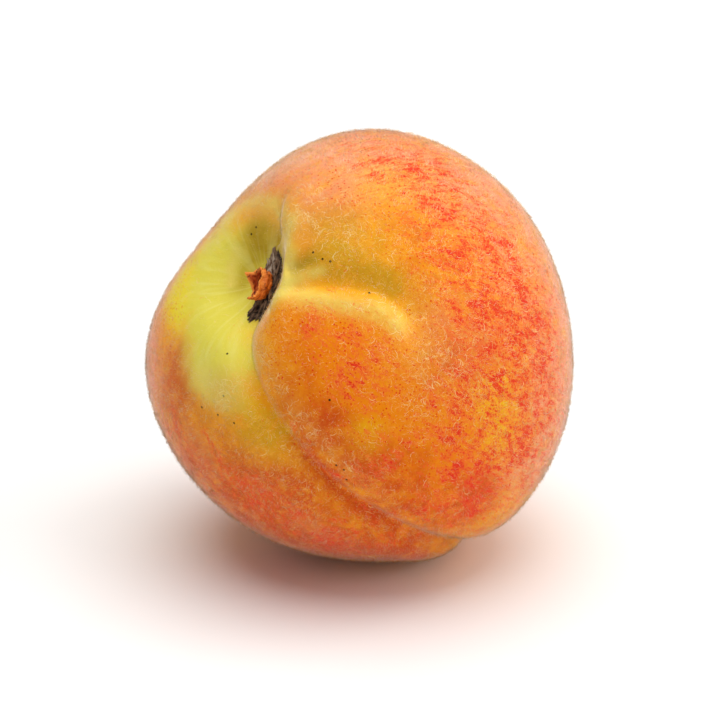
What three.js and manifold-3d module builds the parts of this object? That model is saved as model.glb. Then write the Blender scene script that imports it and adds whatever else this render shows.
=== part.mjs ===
// A whole peach as it is picked, lying on its side. One solid fruit carries the suture, the shoulder
// creases and the stalk cavity. The bark scar lies on the cavity's floor, and the torn stub of the
// stalk stands on the scar.
//
// Millimetres, +Z up. The origin is on the ground, under the middle of the part's box.
// The fruit is shaped in axes of its own and then laid down: w runs from the tip to the stalk,
// u from the middle to the side with the suture, and v completes them. A place on the skin is told by
// polar, its angle from the stalk axis, and around, its angle about that axis from u to v.
import * as THREE from 'three';
import { mergeVertices } from 'three/addons/utils/BufferGeometryUtils.js';
import Module from 'manifold-3d';

// ---- Driving dimensions ------------------------------------------------------------------------
const RADIUS = 35;        // of the round body under its swells and creases
const FLAT_DEPTH = 0.5;   // how much of the round underside the resting flat takes away
const GAP = 0.3;          // clearance between pieces that touch

// How the fruit lies, in degrees: its turn about the stalk axis, then the tilt of that axis from
// upright, then the side that it leans to.
const ATTITUDE = { turn: 42.4, tilt: 54.4, heading: -134.6 };

// Broad swells (positive) and flats (negative) of the body: centre, reach in degrees and height.
const SWELLS = [
  { polar: 50, around: -155, reach: 34, height: -4.2 },   // flattened back shoulder
  { polar: 128, around: 20, reach: 30, height: 2.0 },     // full cheek at the tip end
  { polar: 40, around: 24, reach: 17, height: 1.0 },      // lobe between suture and shoulder crease
  { polar: 115, around: 90, reach: 26, height: -0.8 },    // leaner right cheek
  { polar: 55, around: -98, reach: 24, height: 0.8 },     // fuller left cheek
  { polar: 74, around: 150, reach: 22, height: 0.7 },     // top of the back
];

// The suture is a groove down the u side. One lip stands higher and leans over it. Each profile is a
// list of [polar, millimetres].
const SUTURE = {
  bow: [[20, -6], [100, 3]],                              // its drift round the axis, degrees
  depth: [[0, 0.5], [15, 1.5], [30, 2.2], [60, 1.7], [90, 1.7], [120, 2.2], [150, 1.8], [180, 0]],
  halfWidth: 2.4,
  highLip: [[0, 0.6], [20, 1.0], [60, 0.8], [110, 0.8], [150, 0]],
  highLipAt: 6,
  lowLip: [[0, 0.2], [20, 1.0], [60, 0.4], [100, 0.6], [120, 1.0], [150, 0]],
  lowLipAt: 5,
  lipHalfWidth: 5,
  lean: [[0, 0.3], [20, 1.0], [60, 1.0], [110, 0.8], [150, 0]],
  leanHalfWidth: 4,
};

// Creases of the shoulder. A path is a list of [polar, around]. The two flanks of a crease have
// different half widths, and its depth fades in and out over the shares fadeIn and fadeOut of its run.
const CREASES = [
  { // long shoulder crease that bounds the lobe
    path: [[15, 40], [22, 49], [27, 54], [34, 57], [41.5, 58], [46, 56.5], [50, 53], [53, 47], [56, 41]],
    depth: 1.6, left: 3.2, right: 1.5, fadeIn: 0.12, fadeOut: 0.4,
  },
  { // short dimple beside its upper end
    path: [[15, 58], [20, 64], [27, 72]],
    depth: 0.8, left: 1.5, right: 1.2, fadeIn: 0.2, fadeOut: 0.5,
  },
  { // fold that runs out of the cavity over the back
    path: [[11, 112], [15, 128], [20, 134], [27, 136]],
    depth: 1.1, left: 2.4, right: 1.3, fadeIn: 0.15, fadeOut: 0.5,
  },
];

// The stalk cavity is a basin whose rim is near and steep on one side and wide and open on the other,
// with a narrower well in its middle. Each row of the rim is [around, radius, steepness].
const CAVITY = {
  rim: [
    [0, 12.5, 3.5], [40, 9.6, 4.5], [80, 8.0, 4.2], [110, 8.5, 3.5], [140, 10, 2.5],
    [180, 13, 2], [225, 14, 2], [270, 14, 2], [315, 13.5, 2.5],
  ],
  depth: 5.2,
  wellDepth: 2.8,
  wellRadius: 7.6,
  wellSteepness: 3,
};

// The bark scar: an oblong crust on the cavity's floor.
const SCAR = {
  centre: [1.9, 1.6],       // in u and v
  heading: 149,             // of its long axis, from u to v
  halfLength: 5.8,
  halfWidth: 2.5,
  blunt: 2.6,               // 2 is an oval, and more is blunter at the ends
  edge: 0.35,               // thickness at its edge
  crown: 0.4,               // further thickness in the middle
  ragged: 0.06,             // share by which its outline comes and goes
  fibre: 0.14,              // height of the fibres that run along it
  fibrePitch: 1.5,
};

// The stub: a torn cup of stalk wood on the scar.
const STUB = {
  foot: [2.2, 1.25],        // half axes at the foot, along and across the scar
  mouth: [2.7, 1.65],       // half axes at the mouth
  height: 2.2,
  tearHeight: 0.45,         // by which the torn mouth rises and falls
  wall: 0.6,
  cupDepth: 1.4,
  lean: [-0.5, 0],          // of the mouth over the foot, along and across the scar
};

// ---- Mesh density ------------------------------------------------------------------------------
const POLAR_STEPS = 50;
const AROUND_STEPS = 76;
const SCAR_RINGS = 6;
const SCAR_STEPS = 44;
const STUB_STEPS = 36;

const RAD = Math.PI / 180;
const bell = (x) => Math.exp(-x * x);
const mix = (a, b, t) => a + (b - a) * t;
const fullTurn = (degrees) => ((degrees % 360) + 360) % 360;

/** 0 before `from`, 1 after `to`, and an even S between them. */
function smooth(x, from, to) {
  const t = THREE.MathUtils.clamp((x - from) / (to - from), 0, 1);
  return t * t * (3 - 2 * t);
}

/** Reads a profile of [x, value] rows at x, with an S between its rows. */
function profile(rows, x) {
  let value = rows[0][1];
  for (let i = 1; i < rows.length; i += 1) {
    value += (rows[i][1] - rows[i - 1][1]) * smooth(x, rows[i - 1][0], rows[i][0]);
  }
  return value;
}

/** Reads one column of rows that start with an angle and close on themselves. */
function ringProfile(rows, angle, column) {
  for (let i = 0; i < rows.length; i += 1) {
    const row = rows[i];
    const next = rows[(i + 1) % rows.length];
    const span = fullTurn(next[0] - row[0]);
    const past = fullTurn(angle - row[0]);
    if (past < span) return mix(row[column], next[column], smooth(past, 0, span));
  }
  return rows[0][column];
}

/** Unit vector, in the fruit's axes, to a place on the skin. */
function direction(polar, around) {
  const ring = Math.sin(polar * RAD);
  return new THREE.Vector3(
    ring * Math.cos(around * RAD),
    ring * Math.sin(around * RAD),
    Math.cos(polar * RAD),
  );
}

/** How deep the creases cut at a direction. */
function creaseDepth(toSkin) {
  let cut = 0;
  for (const crease of CREASES) {
    const points = crease.path.map(([polar, around]) => direction(polar, around));
    const runs = points.length - 1;
    let nearest = { distance: Infinity, side: 0, share: 0 };
    for (let i = 0; i < runs; i += 1) {
      const run = points[i + 1].clone().sub(points[i]);
      const t = THREE.MathUtils.clamp(
        toSkin.clone().sub(points[i]).dot(run) / run.lengthSq(), 0, 1,
      );
      const offset = toSkin.clone().sub(points[i].clone().addScaledVector(run, t));
      const distance = offset.length() * RADIUS;
      if (distance < nearest.distance) {
        const side = run.clone().cross(offset).dot(points[i].clone().add(points[i + 1]));
        nearest = { distance, side, share: (i + t) / runs };
      }
    }
    const halfWidth = nearest.side > 0 ? crease.left : crease.right;
    const fade = smooth(nearest.share, 0, crease.fadeIn) * smooth(1 - nearest.share, 0, crease.fadeOut);
    cut += crease.depth * fade * bell(nearest.distance / halfWidth);
  }
  return cut;
}

/** A point of the skin, in the fruit's axes. */
function skinPoint(polar, around) {
  const toSkin = direction(polar, around);
  let lift = -creaseDepth(toSkin);
  for (const swell of SWELLS) {
    const away = toSkin.angleTo(direction(swell.polar, swell.around)) / RAD;
    lift += swell.height * bell(away / swell.reach);
  }

  // Across and outward distances from the line of the suture.
  const bow = profile(SUTURE.bow, polar) * RAD;
  const ring = Math.sin(polar * RAD) * RADIUS;
  const across = ring * Math.sin(around * RAD - bow);
  const outward = ring * Math.cos(around * RAD - bow);
  const onSuture = smooth(outward, -1, 5);
  const groove = Math.exp(-(Math.abs(across / SUTURE.halfWidth) ** 1.5));
  lift -= onSuture * profile(SUTURE.depth, polar) * groove;
  lift += onSuture * profile(SUTURE.highLip, polar)
    * bell((across - SUTURE.highLipAt) / SUTURE.lipHalfWidth);
  lift += onSuture * profile(SUTURE.lowLip, polar)
    * bell((across + SUTURE.lowLipAt) / SUTURE.lipHalfWidth);
  const point = toSkin.clone().multiplyScalar(RADIUS + lift);

  // The high lip leans over the groove.
  const lean = onSuture * profile(SUTURE.lean, polar)
    * bell((across - SUTURE.highLipAt / 2) / SUTURE.leanHalfWidth);
  point.x += lean * Math.sin(bow);
  point.y -= lean * Math.cos(bow);

  // The cavity sinks along the stalk axis.
  const fromAxis = Math.hypot(point.x, point.y);
  const azimuth = Math.atan2(point.y, point.x) / RAD;
  const rimRadius = ringProfile(CAVITY.rim, azimuth, 1);
  const steepness = ringProfile(CAVITY.rim, azimuth, 2);
  const basin = CAVITY.depth * Math.exp(-((fromAxis / rimRadius) ** steepness));
  const well = CAVITY.wellDepth * Math.exp(-((fromAxis / CAVITY.wellRadius) ** CAVITY.wellSteepness));
  point.z -= (basin + well) * smooth(toSkin.z, 0, 0.35);
  return point;
}

/** count + 1 angles from `from` to `to`, closer together where `density` is high. */
function stations(count, from, to, density) {
  const samples = 720;
  const sums = [0];
  for (let i = 0; i < samples; i += 1) {
    sums.push(sums[i] + density(mix(from, to, (i + 0.5) / samples)));
  }
  const angles = [];
  let i = 0;
  for (let k = 0; k <= count; k += 1) {
    const wanted = (sums[samples] * k) / count;
    while (i < samples - 1 && sums[i + 1] < wanted) i += 1;
    const t = (wanted - sums[i]) / (sums[i + 1] - sums[i]);
    angles.push(mix(from, to, (i + t) / samples));
  }
  return angles;
}

/** Closed geometry from a start point, rings of equal length and an end point. */
function ringGeometry(start, rings, end) {
  const steps = rings[0].length;
  const points = [start, ...rings.flat(), end];
  const last = points.length - 1;
  const at = (ring, step) => 1 + ring * steps + (step % steps);
  const index = [];
  for (let step = 0; step < steps; step += 1) {
    index.push(0, at(0, step), at(0, step + 1));
    for (let ring = 0; ring < rings.length - 1; ring += 1) {
      const corners = [at(ring, step), at(ring + 1, step), at(ring + 1, step + 1), at(ring, step + 1)];
      index.push(corners[0], corners[1], corners[2], corners[0], corners[2], corners[3]);
    }
    index.push(at(rings.length - 1, step), last, at(rings.length - 1, step + 1));
  }
  const geometry = new THREE.BufferGeometry();
  geometry.setAttribute('position', new THREE.Float32BufferAttribute(
    points.flatMap((point) => point.toArray()), 3,
  ));
  geometry.setIndex(index);
  return geometry;
}

// ---- The fruit ---------------------------------------------------------------------------------
const onItsSide = new THREE.Matrix4().makeRotationZ(ATTITUDE.heading * RAD)
  .multiply(new THREE.Matrix4().makeRotationY(ATTITUDE.tilt * RAD))
  .multiply(new THREE.Matrix4().makeRotationZ(ATTITUDE.turn * RAD));

/** The round fruit in its own axes, with no flat. */
function fruitBody() {
  const polars = stations(POLAR_STEPS, 0, 180, (polar) => 1 + 1.6 * bell((polar - 12) / 26));
  const arounds = stations(AROUND_STEPS, -180, 180, (around) => (
    1 + 2.6 * bell(around / 9) + 1.4 * bell((around - 55) / 14) + 0.5 * bell((around - 130) / 16)
  ));
  arounds.pop();   // the first one again, a full turn on
  const rings = polars.slice(1, -1).map((polar) => (
    arounds.map((around) => skinPoint(polar, around + profile(SUTURE.bow, polar)))
  ));
  return ringGeometry(skinPoint(0, 0), rings, skinPoint(180, 0));
}

const wasm = await Module();
wasm.setup();

/** A manifold solid of a closed geometry. */
function toSolid(geometry) {
  const positions = geometry.clone();
  positions.deleteAttribute('normal');
  positions.deleteAttribute('uv');
  const merged = mergeVertices(positions);
  return new wasm.Manifold(new wasm.Mesh({
    numProp: 3,
    vertProperties: new Float32Array(merged.attributes.position.array),
    triVerts: new Uint32Array(merged.index.array),
  }));
}

/** A geometry of a manifold solid. */
function toGeometry(solid) {
  const { vertProperties, triVerts, numProp } = solid.getMesh();
  const points = [];
  for (let i = 0; i < vertProperties.length; i += numProp) {
    points.push(vertProperties[i], vertProperties[i + 1], vertProperties[i + 2]);
  }
  const geometry = new THREE.BufferGeometry();
  geometry.setAttribute('position', new THREE.Float32BufferAttribute(points, 3));
  geometry.setIndex([...triVerts]);
  return geometry;
}

/** The fruit laid down with its resting flat cut, and the move that laid it down. */
function layFruit() {
  const body = fruitBody().applyMatrix4(onItsSide);
  body.computeBoundingBox();
  const { min, max } = body.boundingBox;
  const move = new THREE.Vector3(-(min.x + max.x) / 2, -(min.y + max.y) / 2, -min.z - FLAT_DEPTH);
  body.translate(move.x, move.y, move.z);
  const side = 4 * RADIUS;
  const ground = new THREE.BoxGeometry(side, side, side).translate(0, 0, -side / 2);
  const fruit = toGeometry(toSolid(body).subtract(toSolid(ground)));
  return { fruit, toPlace: onItsSide.clone().setPosition(move) };
}

// ---- Scar and stub -----------------------------------------------------------------------------
/** A point above the cavity's floor, from its place along and across the scar and its height. */
function aboveFloor(along, across, height) {
  const c = Math.cos(SCAR.heading * RAD);
  const s = Math.sin(SCAR.heading * RAD);
  const u = SCAR.centre[0] + along * c - across * s;
  const v = SCAR.centre[1] + along * s + across * c;
  const polar = Math.asin(Math.hypot(u, v) / RADIUS) / RAD;
  const point = skinPoint(polar, Math.atan2(v, u) / RAD);
  point.z += height;
  return point;
}

/** How far the scar's outline reaches at an angle about its middle: blunt ends, that come and go. */
function raggedness(angle) {
  const round = Math.abs(Math.cos(angle)) ** SCAR.blunt + Math.abs(Math.sin(angle)) ** SCAR.blunt;
  const waves = Math.sin(5 * angle + 1) + 0.7 * Math.sin(9 * angle) + 0.5 * Math.sin(14 * angle);
  return (1 + SCAR.ragged * waves) / round ** (1 / SCAR.blunt);
}

/** Height of the scar's top above the floor under it. */
function scarTop(along, across, share) {
  const fibres = Math.sin((across * 2 * Math.PI) / SCAR.fibrePitch + 0.6 * Math.sin(along));
  return GAP + SCAR.edge + SCAR.crown * (1 - share ** 3) + SCAR.fibre * fibres * (1 - share ** 4);
}

function scarGeometry() {
  const ring = (share, height) => Array.from({ length: SCAR_STEPS }, (_, step) => {
    const angle = (2 * Math.PI * step) / SCAR_STEPS;
    const reach = share * raggedness(angle);
    const along = reach * SCAR.halfLength * Math.cos(angle);
    const across = reach * SCAR.halfWidth * Math.sin(angle);
    return aboveFloor(along, across, height(along, across, share));
  });
  const shares = Array.from({ length: SCAR_RINGS }, (_, i) => (i + 1) / SCAR_RINGS);
  const top = shares.map((share) => ring(share, scarTop));
  const bottom = shares.map((share) => ring(share, () => GAP)).reverse();
  return ringGeometry(aboveFloor(0, 0, scarTop(0, 0, 0)), [...top, ...bottom], aboveFloor(0, 0, GAP));
}

function stubGeometry() {
  const foot = scarTop(0, 0, 0) + SCAR.fibre + GAP;
  const ring = (share, inset, drop) => Array.from({ length: STUB_STEPS }, (_, step) => {
    const angle = (2 * Math.PI * step) / STUB_STEPS;
    const tear = STUB.tearHeight * (Math.sin(2 * angle + 4) + 0.5 * Math.sin(5 * angle) + 0.4 * Math.sin(8 * angle));
    const along = (mix(STUB.foot[0], STUB.mouth[0], share) - inset) * Math.cos(angle);
    const across = (mix(STUB.foot[1], STUB.mouth[1], share) - inset) * Math.sin(angle);
    return atStub(along, across, share, foot + share * (STUB.height + tear) - drop);
  });
  const floorShare = 1 - STUB.cupDepth / STUB.height;
  const rings = [
    ring(1, STUB.wall, 0), ring(1, 0, 0), ring(0.6, 0, 0), ring(0.3, 0, 0), ring(0, 0, 0),
  ];
  rings.unshift(ring(floorShare, STUB.wall, 0));
  const start = atStub(0, 0, floorShare, foot + floorShare * STUB.height);
  return ringGeometry(start, rings, atStub(0, 0, 0, foot));
}

/** A point of the stub: it stands on the middle of the floor and leans as it rises. */
function atStub(along, across, share, height) {
  const base = aboveFloor(0, 0, height);
  const c = Math.cos(SCAR.heading * RAD);
  const s = Math.sin(SCAR.heading * RAD);
  const a = along + share * STUB.lean[0];
  const b = across + share * STUB.lean[1];
  base.x += a * c - b * s;
  base.y += a * s + b * c;
  return base;
}

// ---- Assembly ----------------------------------------------------------------------------------
function piece(name, geometry, color, roughness) {
  const mesh = new THREE.Mesh(geometry, new THREE.MeshStandardMaterial({ color, roughness, metalness: 0 }));
  mesh.name = name;
  return mesh;
}

const { fruit, toPlace } = layFruit();
const peach = new THREE.Group();
peach.name = 'peach';
peach.add(piece('fruit', fruit, 0xe59a45, 0.75));
peach.add(piece('bark_scar', scarGeometry().applyMatrix4(toPlace), 0x3f342b, 0.9));
peach.add(piece('stem_stub', stubGeometry().applyMatrix4(toPlace), 0xb4632a, 0.85));

export default peach;
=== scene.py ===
"""A whole peach lying on its side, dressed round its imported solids.

The fruit's skin, the bark scar and the torn stub of the stalk follow the same forms as their solids,
and the down is grown on the skin. Forms are worked out in millimetres in the fruit's own axes: w runs
from the tip to the stalk, u from the middle to the side with the suture, and v completes them. A place
on the skin is told by polar, its angle from the stalk axis, and around, its angle about that axis from
u to v, both in degrees. Meshes are in metres, in the frame of the solids.
"""

import logging
import math
from collections.abc import Iterator
from contextlib import contextmanager
from dataclasses import dataclass, field
from enum import Enum
from typing import NamedTuple

import bpy
import numpy as np
from mathutils import Matrix, Vector, noise
from numpy.typing import NDArray

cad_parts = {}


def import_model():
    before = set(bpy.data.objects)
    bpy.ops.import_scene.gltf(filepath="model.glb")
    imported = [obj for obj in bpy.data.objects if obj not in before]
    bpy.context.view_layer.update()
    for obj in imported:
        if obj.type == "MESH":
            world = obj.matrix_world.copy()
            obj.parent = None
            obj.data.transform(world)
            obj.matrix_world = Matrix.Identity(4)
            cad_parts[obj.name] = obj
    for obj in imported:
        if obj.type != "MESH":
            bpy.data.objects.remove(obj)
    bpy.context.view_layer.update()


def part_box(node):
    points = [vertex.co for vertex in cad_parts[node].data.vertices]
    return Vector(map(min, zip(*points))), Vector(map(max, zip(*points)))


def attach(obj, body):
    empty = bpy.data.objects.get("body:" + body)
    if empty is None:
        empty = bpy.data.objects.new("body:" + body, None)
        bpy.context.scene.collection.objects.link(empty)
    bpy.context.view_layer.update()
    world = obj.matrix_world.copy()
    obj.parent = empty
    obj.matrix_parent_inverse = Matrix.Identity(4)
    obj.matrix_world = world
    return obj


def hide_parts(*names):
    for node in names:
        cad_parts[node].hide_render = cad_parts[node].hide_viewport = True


Array = NDArray[np.float64]
Rows = tuple[tuple[float, ...], ...]
Waves = tuple[tuple[float, float, float | Array], ...]

MM = 0.001
TINY = 1e-9  # a length that stands in for none
STRAIGHT = 1e-3  # radians of curl that are as good as straight
log = logging.getLogger("peach")


# ---- Shapes of curves ---------------------------------------------------------------------------
def bell(x: Array) -> Array:
    """1 at 0, falling evenly to nothing on both sides."""
    return np.exp(-x * x)


def smooth(x: Array, low: float, high: float) -> Array:
    """0 below low, 1 above high, and an even S between them."""
    t = np.clip((x - low) / (high - low), 0.0, 1.0)
    return t * t * (3.0 - 2.0 * t)


def profile(rows: Rows, x: Array) -> Array:
    """Reads a profile with an S between its rows.

    Args:
        rows: Pairs of x and value, in order.
        x: Where the profile is read.

    Returns:
        The values there.
    """
    value = np.full_like(x, rows[0][1])
    for (x0, y0), (x1, y1) in zip(rows, rows[1:]):
        value = value + (y1 - y0) * smooth(x, x0, x1)
    return value


def ring_profile(rows: Rows, angle: Array, column: int) -> Array:
    """Reads one column of rows that start with an angle and close on themselves.

    Args:
        rows: Rows of an angle in degrees and values.
        angle: Where the profile is read, in degrees.
        column: Which value of the rows is read.

    Returns:
        The values there.
    """
    value = np.zeros_like(angle)
    for row, after in zip(rows, rows[1:] + rows[:1]):
        span = (after[0] - row[0]) % 360.0
        past = (angle - row[0]) % 360.0
        here = past < span
        between = row[column] + (after[column] - row[column]) * smooth(past, 0.0, span)
        value = np.where(here, between, value)
    return value


def ripple(angle: Array, waves: Waves) -> Array:
    """Adds up waves.

    Args:
        angle: Where they are read, in radians.
        waves: Rows of a wave's height, how many there are in a turn and the angle that it starts with.

    Returns:
        Their sum.
    """
    total = np.zeros_like(angle)
    for height, count, start in waves:
        total += height * np.sin(count * angle + start)
    return total


def drift(points: Array, size: float) -> Array:
    """Smooth noise, from -1 to 1, at points in metres, whose clouds have a size in millimetres."""
    return np.array([noise.noise(point / (size * MM)) for point in map(Vector, points)])


def unit(vectors: Array) -> Array:
    """Vectors, one a row, drawn to a length of 1."""
    return vectors / np.maximum(np.linalg.norm(vectors, axis=1), TINY)[:, None]


def direction(polar: Array, around: Array) -> Array:
    """Unit vectors, in the fruit's axes, to places on the skin."""
    p, a = np.radians(polar), np.radians(around)
    return np.stack([np.sin(p) * np.cos(a), np.sin(p) * np.sin(a), np.cos(p)], -1)


def degrees_from(toward: Array, polar: float, around: float) -> Array:
    """Angles from one place on the skin to directions."""
    centre = direction(np.array(polar), np.array(around))
    return np.degrees(np.arccos(np.clip(toward @ centre, -1.0, 1.0)))


def nearest_on_path(toward: Array, path: Rows) -> tuple[Array, Array, Array]:
    """Finds the nearest place of a path on the skin to each direction.

    Args:
        toward: Unit vectors, one a row.
        path: Places of the path, as polar and around.

    Returns:
        The distance on a sphere of radius 1, the side (1 on the left of the path's run, else -1), and
        the share of the run that is passed there.
    """
    places = np.array(path, float)
    points = direction(places[:, 0], places[:, 1])
    distance = np.full(len(toward), np.inf)
    side = np.zeros(len(toward))
    share = np.zeros(len(toward))
    runs = len(points) - 1
    for i, (start, end) in enumerate(zip(points, points[1:])):
        run = end - start
        t = np.clip((toward - start) @ run / (run @ run), 0.0, 1.0)
        offset = toward - start - t[:, None] * run
        away = np.linalg.norm(offset, axis=1)
        nearer = away < distance
        turn = np.sign(np.cross(run, offset) @ (start + end))
        distance = np.where(nearer, away, distance)
        side = np.where(nearer, turn, side)
        share = np.where(nearer, (i + t) / runs, share)
    return distance, side, share


# ---- Meshes -------------------------------------------------------------------------------------
def points_of(piece: bpy.types.Object) -> Array:
    """The vertices of a piece, one a row.

    Args:
        piece: The piece.

    Returns:
        Its points, in metres.
    """
    flat = np.empty(len(piece.data.vertices) * 3)
    piece.data.vertices.foreach_get("co", flat)
    return flat.reshape(-1, 3)


def move_points(piece: bpy.types.Object, points: Array) -> None:
    """Puts the vertices of a piece at new points, one a row."""
    piece.data.vertices.foreach_set("co", points.ravel())
    piece.data.update()


def store(piece: bpy.types.Object, name: str, values: Array) -> None:
    """Keeps one number or one vector for each vertex of a piece, under a name that materials read.

    Args:
        piece: The piece.
        name: The name.
        values: The numbers, or the vectors one a row.
    """
    kind, key = ("FLOAT_VECTOR", "vector") if values.ndim == 2 else ("FLOAT", "value")
    layer = piece.data.attributes.new(name, kind, "POINT")
    layer.data.foreach_set(key, values.astype(np.float32).ravel())


def stored(piece: bpy.types.Object, name: str) -> Array:
    """Reads back one number for each vertex of a piece.

    Args:
        piece: The piece.
        name: The name that they are kept under.

    Returns:
        The numbers.
    """
    layer = piece.data.attributes[name]
    values = np.empty(len(layer.data), np.float32)
    layer.data.foreach_get("value", values)
    return values.astype(float)


def give_name(piece: bpy.types.Object, name: str) -> None:
    """Names a piece and its mesh."""
    piece.name = name
    piece.data.name = name


@contextmanager
def editing() -> Iterator[None]:
    """Keeps the active piece in edit mode, with all of it selected at first.

    Returns:
        What a with statement opens and closes.
    """
    bpy.ops.object.mode_set(mode="EDIT")
    bpy.ops.mesh.select_all(action="SELECT")
    yield
    bpy.ops.object.mode_set(mode="OBJECT")


def triangles_of(piece: bpy.types.Object) -> NDArray[np.int32]:
    """The corners of a piece's triangles, one triangle a row.

    Args:
        piece: The piece.

    Returns:
        The corners, as numbers of vertices.
    """
    piece.data.calc_loop_triangles()
    corners = np.empty(len(piece.data.loop_triangles) * 3, np.int32)
    piece.data.loop_triangles.foreach_get("vertices", corners)
    return corners.reshape(-1, 3)


def new_ball(name: str, segments: int, rings: int, radius: float) -> bpy.types.Object:
    """Adds a ball at the origin, which is then shaped into a piece.

    Args:
        name: The piece's name.
        segments: Steps round its axis.
        rings: Steps from pole to pole.
        radius: In millimetres.

    Returns:
        The ball.
    """
    bpy.ops.object.select_all(action="DESELECT")
    bpy.ops.mesh.primitive_uv_sphere_add(segments=segments, ring_count=rings, radius=radius * MM)
    ball = bpy.context.object
    give_name(ball, name)
    return ball


def ball_places(ball: bpy.types.Object) -> tuple[Array, Array]:
    """Where the vertices of a ball lie, as polar and around in degrees."""
    x, y, z = points_of(ball).T
    return np.degrees(np.arctan2(np.hypot(x, y), z)), np.degrees(np.arctan2(y, x))


def join(pieces: list[bpy.types.Object], name: str) -> bpy.types.Object:
    """Joins pieces into the first one.

    Args:
        pieces: The pieces.
        name: Of the piece that they become.

    Returns:
        That piece.
    """
    bpy.ops.object.select_all(action="DESELECT")
    for piece in pieces:
        piece.select_set(True)
    bpy.context.view_layer.objects.active = pieces[0]
    bpy.ops.object.join()
    give_name(pieces[0], name)
    return pieces[0]


class Pattern(NamedTuple):
    """A small shape that is repeated: its points and its triangles."""

    points: Array
    triangles: NDArray[np.int32]

    @staticmethod
    def taken_from(model: bpy.types.Object) -> "Pattern":
        """Takes the pattern from a modelled shape, and removes that.

        Args:
            model: The shape.

        Returns:
            The pattern.
        """
        mesh = model.data
        pattern = Pattern(points_of(model), triangles_of(model))
        bpy.data.objects.remove(model)
        bpy.data.meshes.remove(mesh)
        return pattern


def repeated(name: str, points: Array, pattern: Pattern) -> bpy.types.Object:
    """Makes one mesh of many copies of a pattern.

    Args:
        name: The piece's name.
        points: The copies' points, as copies by points by 3.
        pattern: The pattern, for its triangles.

    Returns:
        The piece.
    """
    copies, size, _ = points.shape
    first = (np.arange(copies) * size)[:, None, None]
    corners = (pattern.triangles[None] + first).ravel().astype(np.int32)
    mesh = bpy.data.meshes.new(name)
    mesh.vertices.add(copies * size)
    mesh.vertices.foreach_set("co", points.ravel())
    mesh.loops.add(len(corners))
    mesh.loops.foreach_set("vertex_index", corners)
    mesh.polygons.add(len(corners) // 3)
    mesh.polygons.foreach_set("loop_start", np.arange(0, len(corners), 3, dtype=np.int32))
    mesh.update(calc_edges=True)
    mesh.validate()
    piece = bpy.data.objects.new(name, mesh)
    bpy.context.scene.collection.objects.link(piece)
    return piece


# ---- Materials ----------------------------------------------------------------------------------
class Colour(NamedTuple):
    """A colour as a screen shows it, 0 to 255."""

    red: int
    green: int
    blue: int

    def light(self) -> tuple[float, float, float, float]:
        """The colour in linear light, as materials take it.

        Returns:
            Red, green, blue and 1 for its cover.
        """
        shares = (channel / 255.0 for channel in self)
        linear = (s / 12.92 if s <= 0.04045 else ((s + 0.055) / 1.055) ** 2.4 for s in shares)
        return (*linear, 1.0)


Socket = bpy.types.NodeSocket
Input = Socket | float
Fed = Input | tuple[float, ...]
Pair = tuple[float, float]


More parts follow.
